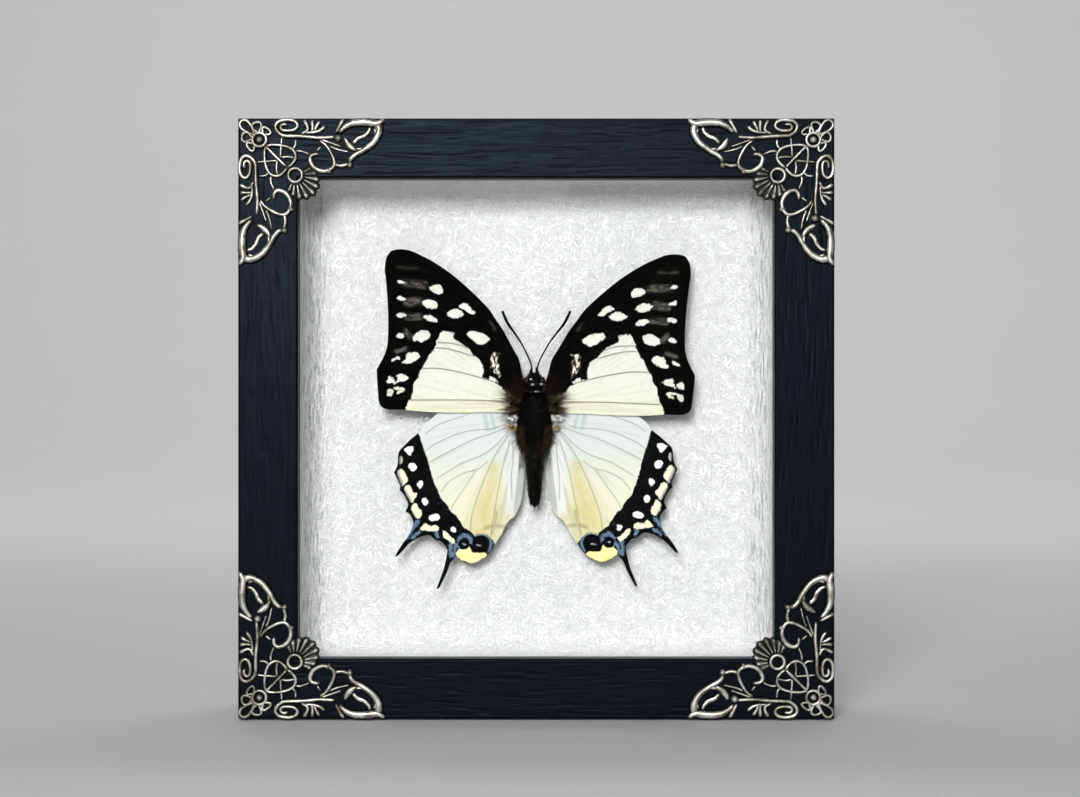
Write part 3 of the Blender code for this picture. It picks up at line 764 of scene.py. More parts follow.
# Scrolls of a silver corner: millimetres from the outer corner along its two edges, then the
# width and height of the bead. Each is repeated mirrored about the corner's diagonal.
SCROLLS = [
    ([(12.9, 1.8), (11.7, 1.7), (11.0, 2.3), (11.4, 3.1), (12.8, 3.3), (14.5, 3.0), (15.3, 2.1),
      (14.8, 1.1), (13.5, 0.6), (12.0, 0.6), (10.5, 1.0), (9.7, 2.0), (10.0, 3.2), (11.0, 4.2),
      (12.2, 4.6), (15.8, 4.7), (18.4, 4.9), (20.9, 5.1), (24.8, 4.9)], (1.0, 1.2, 1.1), 0.95),
    ([(16.2, 4.1), (17.8, 3.2), (17.7, 2.0), (16.9, 0.6)], (0.8, 1.3), 0.8),
    ([(18.9, 3.8), (19.1, 2.6), (19.0, 0.6)], (0.7, 1.3), 0.8),
    ([(19.6, 3.5), (20.0, 2.4), (20.9, 0.9)], (0.7, 1.3), 0.8),
    ([(17.2, 3.8), (19.4, 3.7), (21.0, 3.2), (22.3, 2.2)], (0.7, 1.2), 0.8),
    ([(27.0, 0.4), (26.3, 1.5), (25.0, 3.9)], (1.3, 0.9), 0.9),
    ([(25.9, 3.7), (27.3, 2.4), (28.7, 1.6), (30.4, 1.2), (33.2, 1.2), (35.2, 1.5), (36.3, 1.2),
      (37.4, 0.5)], (1.2, 2.2, 2.6, 1.3), 1.1),
    ([(35.4, 1.4), (36.0, 2.7), (35.8, 4.2), (34.8, 6.0), (33.3, 7.4), (31.7, 8.5), (30.2, 9.3),
      (29.0, 10.3), (28.5, 11.4)], (2.5, 2.1, 1.7, 1.5), 1.1),
    ([(34.8, 2.6), (35.2, 4.4), (34.2, 6.4), (32.6, 7.7), (31.1, 8.0), (30.0, 7.8)], (0.9, 1.0), 0.8),
    ([(27.2, 4.9), (27.9, 6.3), (28.8, 7.4), (30.3, 8.4)], (0.7, 1.7, 2.1, 1.6, 0.6), 0.8),
    ([(29.3, 6.5), (30.6, 5.2), (32.1, 4.6), (33.3, 3.5), (33.7, 2.3)], (1.2, 1.4, 0.9), 0.35),
    ([(28.4, 11.7), (26.5, 12.2), (24.5, 11.9)], (1.1, 1.2), 0.9),
    ([(20.9, 5.8), (22.5, 7.0), (23.7, 8.8), (24.5, 10.6), (24.6, 12.1), (23.7, 13.1), (22.0, 13.6),
      (20.4, 13.2), (19.1, 12.2), (18.5, 10.8), (18.7, 9.8), (19.7, 9.3), (20.9, 9.3)],
     (0.8, 1.1, 1.3, 1.6, 1.1), 1.0),
    ([(21.3, 5.5), (23.5, 6.3), (26.4, 7.3)], (0.7, 0.5), 0.5),
    ([(23.4, 7.2), (25.3, 8.0), (28.4, 8.7)], (0.7, 0.5), 0.5),
    ([(20.2, 8.5), (21.3, 7.1)], (0.9, 0.5), 0.5),
    ([(7.2, 7.3), (8.7, 6.9), (11.0, 7.0), (13.0, 7.5), (14.3, 8.4), (14.8, 9.6), (14.6, 10.8),
      (13.6, 12.0), (12.6, 12.6)], (0.9, 1.0), 0.8),
    ([(11.3, 4.9), (11.1, 7.0), (10.9, 10.1)], (0.7, 0.7), 0.6),
    ([(10.9, 10.1), (12.8, 9.9), (14.6, 10.2)], (0.7, 0.7), 0.6),
    ([(14.8, 5.4), (14.7, 7.0), (13.9, 8.0)], (0.7, 0.8), 0.6),
    ([(14.8, 8.5), (16.3, 8.5), (18.3, 9.3)], (0.8, 0.6), 0.6),
]
DIAGONAL_STROKE = ([(7.0, 7.1), (9.6, 9.7), (12.5, 12.5)], (0.9, 1.0), 0.8)
KNOBS = [(28.6, 12.0, 0.85), (23.3, 13.6, 0.75)]        # also mirrored
ARM_BEAD = (25.6, 5.2, 1.0)                             # on one arm only
FLOWER = (5.6, 5.6)
FLOWER_PETALS = [(-135, 7.0, 2.4), (-101, 4.9, 2.4), (-169, 4.9, 2.4), (-52, 3.9, 2.5), (142, 3.9, 2.5)]
FAN = (14.7, 14.6)
FAN_REACH = (4.4, 5.3, 6.0, 6.5, 6.7, 6.5, 6.0, 5.3, 4.4)
FAN_STEP = 17.0


def corner_place(quarter_turns):
    """A function that puts corner points, in millimetres, and their height on the frame."""
    side_x = -1 if quarter_turns in (0, 3) else 1
    side_z = 1 if quarter_turns in (0, 1) else -1
    swap = quarter_turns % 2 == 1

    def place(points, up):
        a, b = np.maximum(points, 0.05).T
        if swap:
            a, b = b, a
        return np.stack([side_x * (HALF_WIDTH - a * MM), FRONT_Y - 0.02 * MM - up * MM,
                         MIDDLE_Z + side_z * (MIDDLE_Z - b * MM)], axis=1)
    return place


def dome(shape, centre, radius, height, place):
    """A round boss: rings of radius * cos(t) at height * sin(t), closed above and below."""
    t = np.concatenate([[0.0], np.linspace(0.0, math.pi / 2 * 0.97, 7)])
    around = np.linspace(0, 2 * math.pi, 20, endpoint=False)
    radii = radius * np.cos(t)
    level = height * np.sin(t)
    flat = np.stack([centre[0] + radii[:, None] * np.cos(around),
                     centre[1] + radii[:, None] * np.sin(around)], axis=-1)
    up = np.repeat(level, len(around))
    rings = place(flat.reshape(-1, 2), up).reshape(len(t), len(around), 3)
    closed_surface(shape, rings[1:], crest=np.repeat(0.35 + 0.65 * np.sin(t[1:]), len(around)))


def crest_only(flat, crest):
    """Point values of a silver bead: only how high up its section a point sits."""
    return {"crest": crest}


def blackened(flat, crest):
    """Point values of a low web between the fan's rays, where the black is never rubbed off."""
    return {"crest": 0.0 * crest}


def make_corner(name, quarter_turns, material, relief):
    """An openwork corner: half-round beads, looped petals, a fan of drops and small bosses."""
    place = corner_place(quarter_turns)
    values = crest_only
    shape = Shape()
    for points, width, height in SCROLLS:
        for mirrored in (False, True):
            route = [(b, a) for a, b in points] if mirrored else points
            bead(shape, through(route, 0.3), width, height * relief, place, values)
    points, width, height = DIAGONAL_STROKE
    bead(shape, through(points, 0.3), width, height * relief, place, values)
    turn = np.linspace(0, 2 * math.pi, 40, endpoint=False)
    circle = np.stack([np.cos(turn), np.sin(turn)], axis=1)
    bead(shape, np.array(FLOWER) + 1.75 * circle, 1.1, relief, place, values, closed=True)
    dome(shape, FLOWER, 0.95, 1.3 * relief, place)
    for angle, reach, width in FLOWER_PETALS:
        axis = np.array([math.cos(math.radians(angle)), math.sin(math.radians(angle))])
        cross = np.array([-axis[1], axis[0]])
        t = np.linspace(0, 1, 40, endpoint=False)
        out = 1.7 + (reach - 2.1) * np.sin(math.pi * t)
        side = width / 2 * np.sin(2 * math.pi * t)
        petal = np.array(FLOWER) + out[:, None] * axis + side[:, None] * cross
        bead(shape, petal, 0.9, 0.8 * relief, place, values, closed=True)
    bead(shape, np.array(FAN) + 1.75 * circle, 1.1, relief, place, values, closed=True)
    for i, reach in enumerate(FAN_REACH):
        angle = math.radians(45 + (i - len(FAN_REACH) // 2) * FAN_STEP)
        axis = np.array([math.cos(angle), math.sin(angle)])
        ray = np.array(FAN) + np.linspace(2.3, reach, 14)[:, None] * axis
        bead(shape, ray, (0.45, 0.55, 0.9, 1.75), (0.6 * relief, 0.7 * relief, 1.2 * relief),
             place, values)
        web = np.array(FAN) + np.linspace(1.9, reach + 0.45, 14)[:, None] * axis
        bead(shape, web, (0.9, 1.4, 2.0, 2.6), 0.3 * relief, place, blackened)
    for a, b, radius in KNOBS:
        dome(shape, (a, b), radius, 1.2 * relief, place)
        dome(shape, (b, a), radius, 1.2 * relief, place)
    dome(shape, ARM_BEAD[:2], ARM_BEAD[2], 1.5 * relief, place)
    return shape.build("filigree_" + name, material, "antique_silver", ("corner_" + name,))


# ---------------------------------------------------------------- wings

# Wing shapes and markings are in millimetres: outwards from the body's axis, and upwards
# from the level of the wing hinges. Each run of an outline is a smooth curve.
FOREWING_RUNS = [
    [(2.5, 7.0), (3.3, 9.9), (4.0, 13.1), (5.4, 15.7), (6.8, 18.3), (8.2, 20.9), (10.0, 23.5),
     (11.7, 26.1), (14.1, 28.7), (16.8, 31.3), (19.7, 33.9), (22.1, 35.8), (24.7, 37.6), (27.3, 39.2),
     (29.9, 40.5), (32.5, 41.6), (35.1, 41.9), (37.2, 41.5), (38.1, 40.5), (38.7, 39.2), (39.0, 36.5),
     (38.7, 33.9), (38.3, 28.7), (38.1, 23.5), (38.2, 18.3), (38.6, 15.7), (39.7, 13.1), (41.1, 10.6)],
    [(41.1, 10.6), (41.0, 7.8), (40.8, 5.2), (40.6, 2.6), (40.2, 1.3), (39.3, 0.5), (37.7, 0.1),
     (33.8, 0.0), (27.3, -0.5), (19.4, -0.7), (12.0, -0.6), (5.9, -0.8), (3.0, -0.6)],
    [(3.0, -0.6), (2.2, 3.0), (2.5, 7.0)],
]
FOREWING_CENTRE = (27.0, 14.0)
HINDWING_RUNS = [
    [(3.2, -2.0), (6.0, 0.6), (10.0, 1.4), (15.0, 1.5), (20.0, 1.2), (24.7, -0.5), (26.8, -2.2),
     (28.7, -3.7), (30.3, -5.9), (32.5, -7.8), (34.1, -9.4), (35.1, -10.4), (35.6, -11.7),
     (35.8, -14.4), (36.7, -16.3)],
    [(36.7, -16.3), (35.5, -18.8), (35.1, -19.8), (35.2, -21.1)],
    [(35.2, -21.1), (34.3, -21.9), (33.0, -24.5), (33.7, -26.5)],
    [(33.7, -26.5), (32.8, -27.1), (32.0, -28.2), (31.7, -29.5), (32.2, -31.3), (33.0, -32.9),
     (34.3, -34.7), (35.5, -36.5), (36.4, -38.2)],
    [(36.4, -38.2), (35.7, -38.1), (34.25, -36.55), (33.0, -35.2), (31.7, -34.2), (30.1, -33.3),
     (28.6, -32.8), (27.3, -32.8), (25.7, -34.1)],
    [(25.7, -34.1), (24.7, -34.2), (23.9, -34.8), (23.0, -36.0), (22.8, -37.1), (23.5, -40.7),
     (24.1, -42.7), (24.8, -44.6), (25.6, -46.7)],
    [(25.6, -46.7), (24.9, -46.5), (23.9, -44.6), (22.8, -42.3), (22.1, -40.2), (21.3, -39.2),
     (20.5, -38.1)],
    [(20.5, -38.1), (18.9, -39.4), (17.4, -40.1), (16.3, -40.1), (15.0, -39.7), (12.7, -38.4),
     (11.1, -36.5), (10.4, -35.2), (8.7, -32.6), (7.7, -30.5), (6.7, -29.0), (5.1, -27.5),
     (3.8, -25.1), (3.2, -22.2), (2.8, -18.3), (2.9, -15.7), (3.3, -13.1), (4.4, -7.8), (4.0, -4.0),
     (3.2, -2.0)],
]
HINDWING_CENTRE = (13.5, -14.0)

FOREWING_FIELD = [
    (23.9, 20.5), (24.7, 19.8), (24.9, 18.8), (25.7, 18.0), (25.6, 17.0), (26.2, 15.9), (27.8, 13.8),
    (28.8, 11.7), (30.0, 9.7), (30.3, 8.6), (31.6, 6.5), (31.5, 5.5), (32.4, 2.9), (33.5, 0.8),
    (33.7, -2.5), (6.5, -2.5), (6.0, 1.0), (7.0, 4.0), (9.5, 6.8), (11.6, 8.0), (13.7, 8.5),
    (13.2, 10.2), (13.4, 11.2), (14.2, 13.1), (14.5, 13.4), (16.1, 14.4), (16.8, 15.7), (18.7, 17.2),
    (21.0, 18.4), (21.3, 19.1), (20.5, 20.0), (22.8, 20.6),
]
FOREWING_SPOTS = [
    [(27.5, 31.8), (26.5, 32.6), (24.7, 32.6), (23.8, 31.3), (24.4, 30.3), (25.4, 30.3), (27.0, 31.1)],
    [(29.5, 28.2), (28.3, 28.7), (26.5, 28.6), (25.1, 27.4), (26.2, 26.4), (27.3, 26.5), (28.8, 27.1)],
    [(29.1, 24.3), (27.8, 24.8), (26.2, 24.3), (25.2, 23.1), (26.5, 22.8), (28.1, 23.5)],
    [(31.7, 19.1), (30.9, 20.1), (29.1, 20.9), (27.5, 20.4), (27.3, 19.1), (28.6, 18.0), (30.4, 17.9),
     (31.6, 18.3)],
    [(34.6, 12.5), (33.5, 13.3), (33.3, 14.6), (31.7, 15.1), (30.4, 15.0), (29.9, 13.8), (31.2, 12.8),
     (32.8, 12.0), (34.1, 12.3)],
    [(35.9, 8.9), (35.1, 9.4), (33.8, 9.1), (32.6, 8.2), (33.8, 7.7), (35.4, 7.3), (36.1, 6.8),
     (36.7, 7.0), (35.6, 8.1)],
    [(36.9, 5.7), (35.4, 6.0), (33.8, 5.6), (34.1, 5.0), (35.4, 4.2), (35.9, 4.7), (35.1, 5.2),
     (36.4, 5.4)],
    [(35.8, 33.5), (34.8, 33.9), (33.8, 33.1), (34.6, 32.9), (35.4, 33.0)],
    [(35.8, 29.2), (35.1, 29.8), (33.5, 29.0), (34.1, 28.6), (35.4, 28.7)],
    [(35.8, 24.8), (34.8, 25.3), (33.4, 25.2), (33.8, 24.3), (35.4, 24.0)],
    [(36.0, 19.3), (35.1, 20.0), (34.1, 19.8), (34.1, 18.9), (35.6, 18.8)],
    [(37.2, 13.1), (36.1, 13.8), (35.1, 14.0), (35.2, 13.2), (36.1, 13.1), (36.9, 12.5)],
    [(38.5, 7.3), (38.0, 8.6), (37.5, 8.7), (36.4, 7.8), (36.9, 7.0), (38.2, 6.9)],
    [(38.2, 5.2), (37.2, 5.5), (36.7, 5.2), (37.2, 3.9), (38.0, 3.5), (38.4, 3.9)],
    [(19.7, 27.0), (18.7, 27.7), (17.6, 27.7), (16.6, 26.6), (15.5, 25.3), (16.8, 25.1), (18.1, 26.1)],
    [(23.0, 25.2), (21.5, 26.1), (20.5, 26.4), (19.2, 25.8), (18.3, 24.8), (20.5, 23.9), (22.1, 24.3)],
    [(17.6, 19.6), (16.8, 20.6), (15.0, 20.4), (13.2, 19.8), (11.6, 18.5), (12.9, 17.4), (14.2, 17.0),
     (15.8, 18.0)],
    [(11.4, 8.9), (9.5, 7.3), (11.6, 7.8)],
]
FOREWING_CELL = [
    (11.4, 14.1), (11.0, 14.6), (10.6, 14.9), (9.3, 14.6), (9.6, 13.2), (9.5, 11.7), (9.2, 10.0),
    (9.0, 8.4), (10.6, 9.9), (11.2, 11.5),
]
FOREWING_DUSK = [                  # path and half width of each grey-brown streak
    ([(33.6, 33.0), (28.6, 32.6)], 1.0), ([(33.2, 28.0), (30.2, 28.4)], 1.1),
    ([(33.0, 24.2), (29.8, 24.3)], 0.9), ([(35.6, 37.2), (33.6, 37.0)], 0.25),
    ([(32.4, 36.9), (30.6, 37.1)], 0.2),
    ([(11.5, 22.8), (10.4, 21.2)], 0.3), ([(33.6, 20.6), (32.4, 19.2)], 0.7),
    ([(36.0, 15.2), (33.4, 16.0)], 0.6),
]
FOREWING_VEINS = [
    [(33.0, 16.0), (25.4, 16.2), (21.5, 15.7), (16.3, 14.1)],
    [(40.5, 10.5), (29.9, 10.8), (24.7, 10.8), (18.9, 9.7), (13.4, 8.2), (9.5, 6.8), (5.1, 2.6)],
    [(40.0, 2.7), (32.2, 2.6), (16.8, 2.6), (7.7, 2.1), (5.9, 1.3)],
    [(3.5, 6.5), (6.5, 14.5), (10.2, 21.5), (16.0, 28.5), (22.0, 33.8), (30.0, 39.0)],
    [(4.5, 5.0), (8.0, 12.5), (12.0, 18.0), (18.0, 22.5), (24.0, 29.5), (30.0, 36.5), (36.0, 39.5)],
    [(12.0, 18.0), (17.0, 22.0), (25.0, 26.0), (38.0, 31.2)],
    [(11.8, 15.7), (18.0, 18.6), (25.5, 21.8), (38.0, 26.8)],
    [(12.3, 13.0), (19.0, 16.8), (26.0, 17.6), (32.0, 17.0), (38.3, 16.6)],
]
HINDWING_BAND = [
    (30.3, -5.6), (29.1, -9.4), (27.8, -13.1), (26.8, -17.0), (25.7, -20.1), (24.4, -23.0),
    (23.1, -24.3), (21.8, -26.5), (20.5, -27.4), (19.1, -29.5), (18.4, -30.7), (16.3, -32.0),
    (15.6, -33.0), (14.0, -32.6), (12.0, -33.0), (10.8, -34.2), (10.0, -36.0), (9.0, -38.0),
    (9.0, -50.0), (42.0, -50.0), (42.0, -5.0),
]
HINDWING_SPOTS = [
    [(34.1, -10.2), (32.5, -9.4), (31.5, -9.9), (32.0, -11.0), (32.5, -12.0), (33.5, -11.0)],
    [(33.0, -14.6), (32.2, -13.8), (30.7, -14.6), (31.2, -15.9), (32.2, -15.9)],
    [(30.7, -19.3), (29.6, -18.3), (29.1, -19.3), (29.6, -20.6), (30.4, -20.1)],
    [(29.4, -23.2), (28.3, -23.0), (27.7, -23.8), (28.3, -24.9), (29.1, -24.5)],
    [(27.7, -28.4), (27.0, -27.4), (25.7, -27.1), (24.7, -27.9), (25.2, -28.7), (26.8, -29.0)],
    [(22.1, -30.8), (21.0, -30.5), (20.4, -31.6), (21.0, -32.1), (21.8, -31.6)],
]
HINDWING_LUNULES = [
    [(35.0, -11.8), (34.4, -13.1), (35.0, -14.4), (35.6, -13.1)],
    [(35.4, -15.4), (34.6, -15.4), (33.8, -16.4), (33.0, -18.3), (33.8, -19.3), (34.6, -20.0),
     (35.6, -17.7), (36.0, -16.4)],
    [(33.3, -19.6), (32.2, -20.1), (31.7, -21.4), (30.7, -21.9), (31.2, -23.2), (32.2, -24.3),
     (33.5, -22.2), (34.1, -20.6)],
    [(31.7, -24.5), (30.7, -24.3), (30.3, -25.6), (29.4, -26.4), (29.6, -27.7), (30.7, -28.4),
     (32.0, -26.6), (32.2, -25.3)],
    [(29.6, -30.5), (28.6, -29.5), (27.3, -30.3), (25.7, -30.0), (24.9, -31.3), (26.2, -31.8),
     (27.8, -31.6), (29.9, -31.3)],
    [(24.1, -31.8), (23.1, -31.6), (22.1, -32.9), (20.7, -33.9), (21.3, -35.0), (22.3, -34.2),
     (23.6, -33.4)],
]
HINDWING_YELLOW = [
    (20.2, -36.8), (19.2, -36.3), (17.9, -36.3), (17.1, -35.4), (16.1, -37.2), (13.2, -37.3),
    (12.5, -38.1), (15.3, -39.8), (16.8, -40.1), (20.2, -38.5),
]
HINDWING_EYES = [(18.4, -35.0, 1.5), (14.0, -35.0, 2.3)]      # centre and radius
HINDWING_BLUE = [                  # path and half width of each steel-blue stroke
    ([(30.4, -29.0), (32.0, -31.1), (33.5, -33.4)], 0.5), ([(30.1, -31.8), (32.0, -33.4)], 0.4),
    ([(25.7, -31.8), (25.4, -33.1)], 0.5), ([(21.5, -34.5), (22.0, -36.0), (21.8, -38.1)], 0.5),
    ([(20.5, -35.2), (21.3, -38.1)], 0.4),
    ([(19.7, -33.9), (19.0, -33.1), (18.0, -32.8), (17.0, -33.4), (16.6, -34.4)], 0.55),
    ([(15.3, -32.9), (13.3, -32.6), (12.2, -33.3), (11.5, -34.3), (11.5, -35.8), (12.0, -37.0)], 0.35),
    ([(20.0, -35.2), (19.4, -36.8)], 0.35),
]
HINDWING_LILAC = [
    ([(18.1, -35.0), (18.6, -34.9)], 0.22), ([(13.9, -35.4), (15.0, -35.3)], 0.2),
]
HINDWING_DULL = [([(13.0, -1.6), (12.3, -4.9)], 0.45), ([(11.2, -1.4), (10.4, -4.6)], 0.35)]
HINDWING_SMUDGE = [
    ([(9.9, -26.6), (10.4, -30.0), (11.3, -32.9)], 0.12),
    ([(12.8, -30.9), (10.5, -30.2), (7.9, -30.5)], 0.3),
]
HINDWING_OCHRE = [(10.6, -14.5), (11.1, -18.3), (13.2, -25.3), (14.2, -32.6)]
HINDWING_VEINS = [
    [(9.0, -4.2), (11.6, -5.0), (15.5, -5.2), (19.4, -6.0), (22.8, -7.3), (26.8, -9.4), (28.8, -11.0)],
    [(7.7, -4.7), (11.6, -6.3), (14.7, -7.3), (17.9, -8.6), (22.1, -10.7), (25.2, -12.3), (27.3, -13.6)],
    [(6.9, -5.7), (10.3, -9.4), (14.2, -12.0), (18.9, -13.8), (22.1, -15.7), (25.2, -17.7)],
    [(12.4, -13.6), (14.7, -15.4), (18.1, -16.4), (22.1, -18.5), (24.4, -21.4)],
    [(15.3, -15.7), (18.1, -20.1), (20.8, -24.0), (21.8, -26.4)],
    [(6.7, -6.3), (9.5, -10.4), (12.1, -15.7), (14.7, -22.2), (16.3, -27.4), (16.8, -31.8)],
    [(6.4, -7.8), (8.2, -14.4), (9.5, -20.9), (10.6, -27.4), (11.4, -32.6)],
    [(5.9, -7.8), (5.6, -11.7), (6.1, -18.3), (5.9, -23.5)],
    [(16.8, -1.0), (24.7, -3.7), (28.6, -6.3)],
]
RIGHT_SPREAD = 1.01                # the right wings reach out a trifle further
RIGHT_FOREWING_TURN = math.radians(-2.3)
RIGHT_HINDWING_TURN = math.radians(1.5)
FOREWING_HINGE = (3.0, 1.0)
HINDWING_HINGE = (3.0, -2.0)


def from_line(points, path):
    """Distance of each point to a line through the path."""
    path = np.asarray(path, float)
    start, edge = path[:-1], np.diff(path, axis=0)
    square = np.maximum((edge ** 2).sum(-1), 1e-12)
    nearest = []
    for block in np.array_split(points, len(points) // 4000 + 1):
        away = block[:, None, :] - start
        share = np.clip((away * edge).sum(-1) / square, 0, 1)
        nearest.append(np.linalg.norm(away - share[..., None] * edge, axis=-1).min(axis=1))
    return np.concatenate(nearest)


def inside(points, polygon):
    """How far each point lies inside a closed outline; negative outside."""
    polygon = np.asarray(polygon, float)
    after = np.roll(polygon, -1, axis=0)
    level = points[:, None, 1]
    spans = (polygon[:, 1] > level) != (after[:, 1] > level)
    rise = after[:, 1] - polygon[:, 1]
    rise = np.where(np.abs(rise) < 1e-9, 1e-9, rise)
    crossing = polygon[:, 0] + (level - polygon[:, 1]) * (after[:, 0] - polygon[:, 0]) / rise
    within = (spans & (points[:, None, 0] < crossing)).sum(axis=1) % 2 == 1
    distance = from_line(points, np.vstack([polygon, polygon[:1]]))
    return np.where(within, distance, -distance)


def inside_any(points, polygons, step=0.4):
    """The largest depth inside any of the rounded outlines."""
    return np.max([inside(points, through(p, step, closed=True)) for p in polygons], axis=0)


def inside_strokes(points, strokes):
    """The largest depth inside any stroke, given as its path and half width."""
    return np.max([half - from_line(points, through(path, 0.4)) for path, half in strokes], axis=0)


def nearest_vein(points, veins):
    return np.min([from_line(points, through(vein, 0.8)) for vein in veins], axis=0)


def outline_of(runs, step):
    """One closed outline from its smooth runs, each starting where the last one ended."""
    return np.vstack([through(run, step)[:-1] for run in runs])


def rays(points, hinge, seed):
    """Noise drawn out along the lines that run from the hinge, 0 to 1."""
    out, up = points[:, 0] - hinge[0], points[:, 1] - hinge[1]
    turn = np.arctan2(up, out)
    fine = value_noise(turn * 57.3, np.hypot(out, up), (1.6, 11.0), seed)
    broad = value_noise(turn * 57.3, np.hypot(out, up), (5.0, 16.0), seed + 1)
    return 0.5 + 0.3 * fine + 0.2 * broad


def forewing_values(points, crest=None):
    """What the forewing's finish needs at each point: depths in its markings, and tints."""
    dusk = inside_strokes(points, FOREWING_DUSK)
    field = inside(points, FOREWING_FIELD)
    thicker = 0.3 * smooth_step(-points[:, 0], -13.0, -5.0)
    return {
        "pale": np.maximum(field, inside_any(points, FOREWING_SPOTS)),
        "cell": inside(points, FOREWING_CELL),
        "dusk": smooth_step(dusk, -0.3, 0.5),
        "vein": np.where(field > 0, nearest_vein(points, FOREWING_VEINS) - thicker, 9.0),
        "ray": rays(points, FOREWING_HINGE, 81),
        "warm": smooth_step(-points[:, 1], -9.0, 0.0),
        "root": smooth_step(-points[:, 0], -8.5, -4.5) * smooth_step(-points[:, 1], -11.0, -6.0),
    }


def hindwing_values(points, crest=None):
    """What the hindwing's finish needs at each point: depths in its markings, and tints."""
    out, up = points[:, 0], points[:, 1]
    rim = inside(points, outline_of(HINDWING_RUNS, 0.6))
    reach = np.interp(-up, [12.0, 20.0, 33.0], [1.1, 2.6, 4.4])
    ochre = np.exp(-(from_line(points, through(HINDWING_OCHRE, 0.8)) / reach) ** 2)
    patch = np.exp(-((out - 8.4) ** 2 + (up + 27.3) ** 2) / 3.4 ** 2)
    return {
        "band": inside(points, HINDWING_BAND),
        "blue": inside_strokes(points, HINDWING_BLUE),
        "spot": inside_any(points, HINDWING_SPOTS),
        "rim": rim,
        "lunule": np.minimum(inside_any(points, HINDWING_LUNULES), rim - 0.3),
        "yellow": np.minimum(inside_any(points, [HINDWING_YELLOW]), rim - 0.05),
        "eye": np.max([r - np.hypot(out - u, up - v) for u, v, r in HINDWING_EYES], axis=0),
        "lilac": inside_strokes(points, HINDWING_LILAC),
        "vein": nearest_vein(points, HINDWING_VEINS),
        "ray": rays(points, HINDWING_HINGE, 82),
        "cool": 0.9 * smooth_step(up, -25.0, -7.0),
        "ochre": np.clip(0.75 * ochre + 0.5 * patch, 0.0, 1.0),
        "dull": 0.7 * smooth_step(inside_strokes(points, HINDWING_DULL), -0.6, 0.4),
        "smudge": smooth_step(inside_strokes(points, HINDWING_SMUDGE), -0.55, 0.15),
        "fold": (smooth_step(-out, -9.0, -6.5) * smooth_step(-up, 6.0, 10.0)
                 * smooth_step(up, -29.0, -26.0)),
    }


def forewing_depth(points):
    """Height of the forewing's skin in millimetres, towards the back.

    The tip lifts by 0.8 (u / 40)^2 towards the glass, each vein stands up as a soft ridge and
    slow noise lets the skin undulate.
    """
    out, up = points[:, 0], points[:, 1]
    ridge = 0.1 * np.exp(-(nearest_vein(points, FOREWING_VEINS) / 0.6) ** 2)
    sway = 0.14 * value_noise(out, up, (8.0, 8.0), 71)
    return 0.35 - 0.8 * (out / 40.0) ** 2 - ridge + sway


def hindwing_depth(points):
    """Height of the hindwing's skin: like the forewing's, with its inner edge folded back."""
    out, up = points[:, 0], points[:, 1]
    ridge = 0.1 * np.exp(-(nearest_vein(points, HINDWING_VEINS) / 0.6) ** 2)
    sway = 0.16 * value_noise(out, up, (7.0, 7.0), 72)
    inner = 1.0 * smooth_step(-out, -8.5, -4.0)
    return 0.3 - 0.5 * (out / 40.0) ** 2 - ridge + sway + inner


def wing_place(side, hinge, turn, plane_y, depth_of):
    """A function that lays wing points and their height on the left or right wing."""
    def place(points, up=0.0):
        out, rise = points[:, 0], points[:, 1]
        if side > 0:
            away, rise = (out - hinge[0]) * RIGHT_SPREAD, rise - hinge[1]
            out = hinge[0] + away * math.cos(turn) - rise * math.sin(turn)
            rise = hinge[1] + away * math.sin(turn) + rise * math.cos(turn)
        y = plane_y + (depth_of(points) - up) * MM
        return np.stack([BODY_X + side * out * MM, y, HINGE_Z + rise * MM], axis=1)
    return place


def make_wing(name, runs, centre, veins, place, values, material, node):
    """A thin closed wing.

    Front: P(s, t) = C + s (O(t) - C), where O is the outline and s goes from the centre to the
    edge; the back is the same skin 0.25 mm further in. Half-round veins lie on the front.
    """
    outline = outline_of(runs, 0.3)
    middle = np.array(centre)

    def skin(shares):
        return (middle + np.asarray(shares)[:, None, None] * (outline - middle)).reshape(-1, 2)

    front = skin(np.linspace(0.01, 1.0, 62))
    back = skin(np.linspace(1.0, 0.01, 12))
    flat = np.vstack([front, back])
    points = np.vstack([place(front), place(back, -0.25)])
    shape = Shape()
    closed_surface(shape, points.reshape(-1, len(outline), 3), **values(flat))
    for vein in veins:
        path = through(vein, 0.35)
        path = path[inside(path, outline) > 0.4]
        width = (0.24, 0.3)
        bead(shape, path, width, 0.1, lambda flat, up: place(flat, up - 0.03), values, sides=5)
    return shape.build(name, material, "wing_scales", (node,), sharp=math.radians(60))


# ---------------------------------------------------------------- body

# Sections in millimetres: level above the hinge, half width, half depth
HEAD_SECTIONS = [
    (9.8, 0.4, 0.4), (9.3, 1.2, 1.1), (8.3, 2.0, 1.7), (7.0, 2.5, 2.0), (5.8, 2.4, 1.9), (5.0, 1.6, 1.4),
    (4.8, 0.6, 0.6),
]
THORAX_SECTIONS = [
    (4.6, 1.0, 0.9), (4.2, 2.2, 1.8), (3.2, 3.0, 2.5), (1.2, 3.7, 3.2), (-1.6, 4.1, 3.6),
    (-5.2, 4.1, 3.6), (-8.0, 3.6, 3.0), (-10.0, 2.7, 2.2), (-10.8, 1.5, 1.3),
]
ABDOMEN_SECTIONS = [
    (-10.6, 1.5, 1.3), (-11.4, 2.3, 2.0), (-13.0, 2.3, 2.2), (-15.6, 1.95, 2.0), (-18.3, 1.65, 1.8),
    (-21.0, 1.45, 1.5), (-23.0, 1.25, 1.3), (-24.4, 0.9, 0.9), (-25.0, 0.4, 0.4),
]
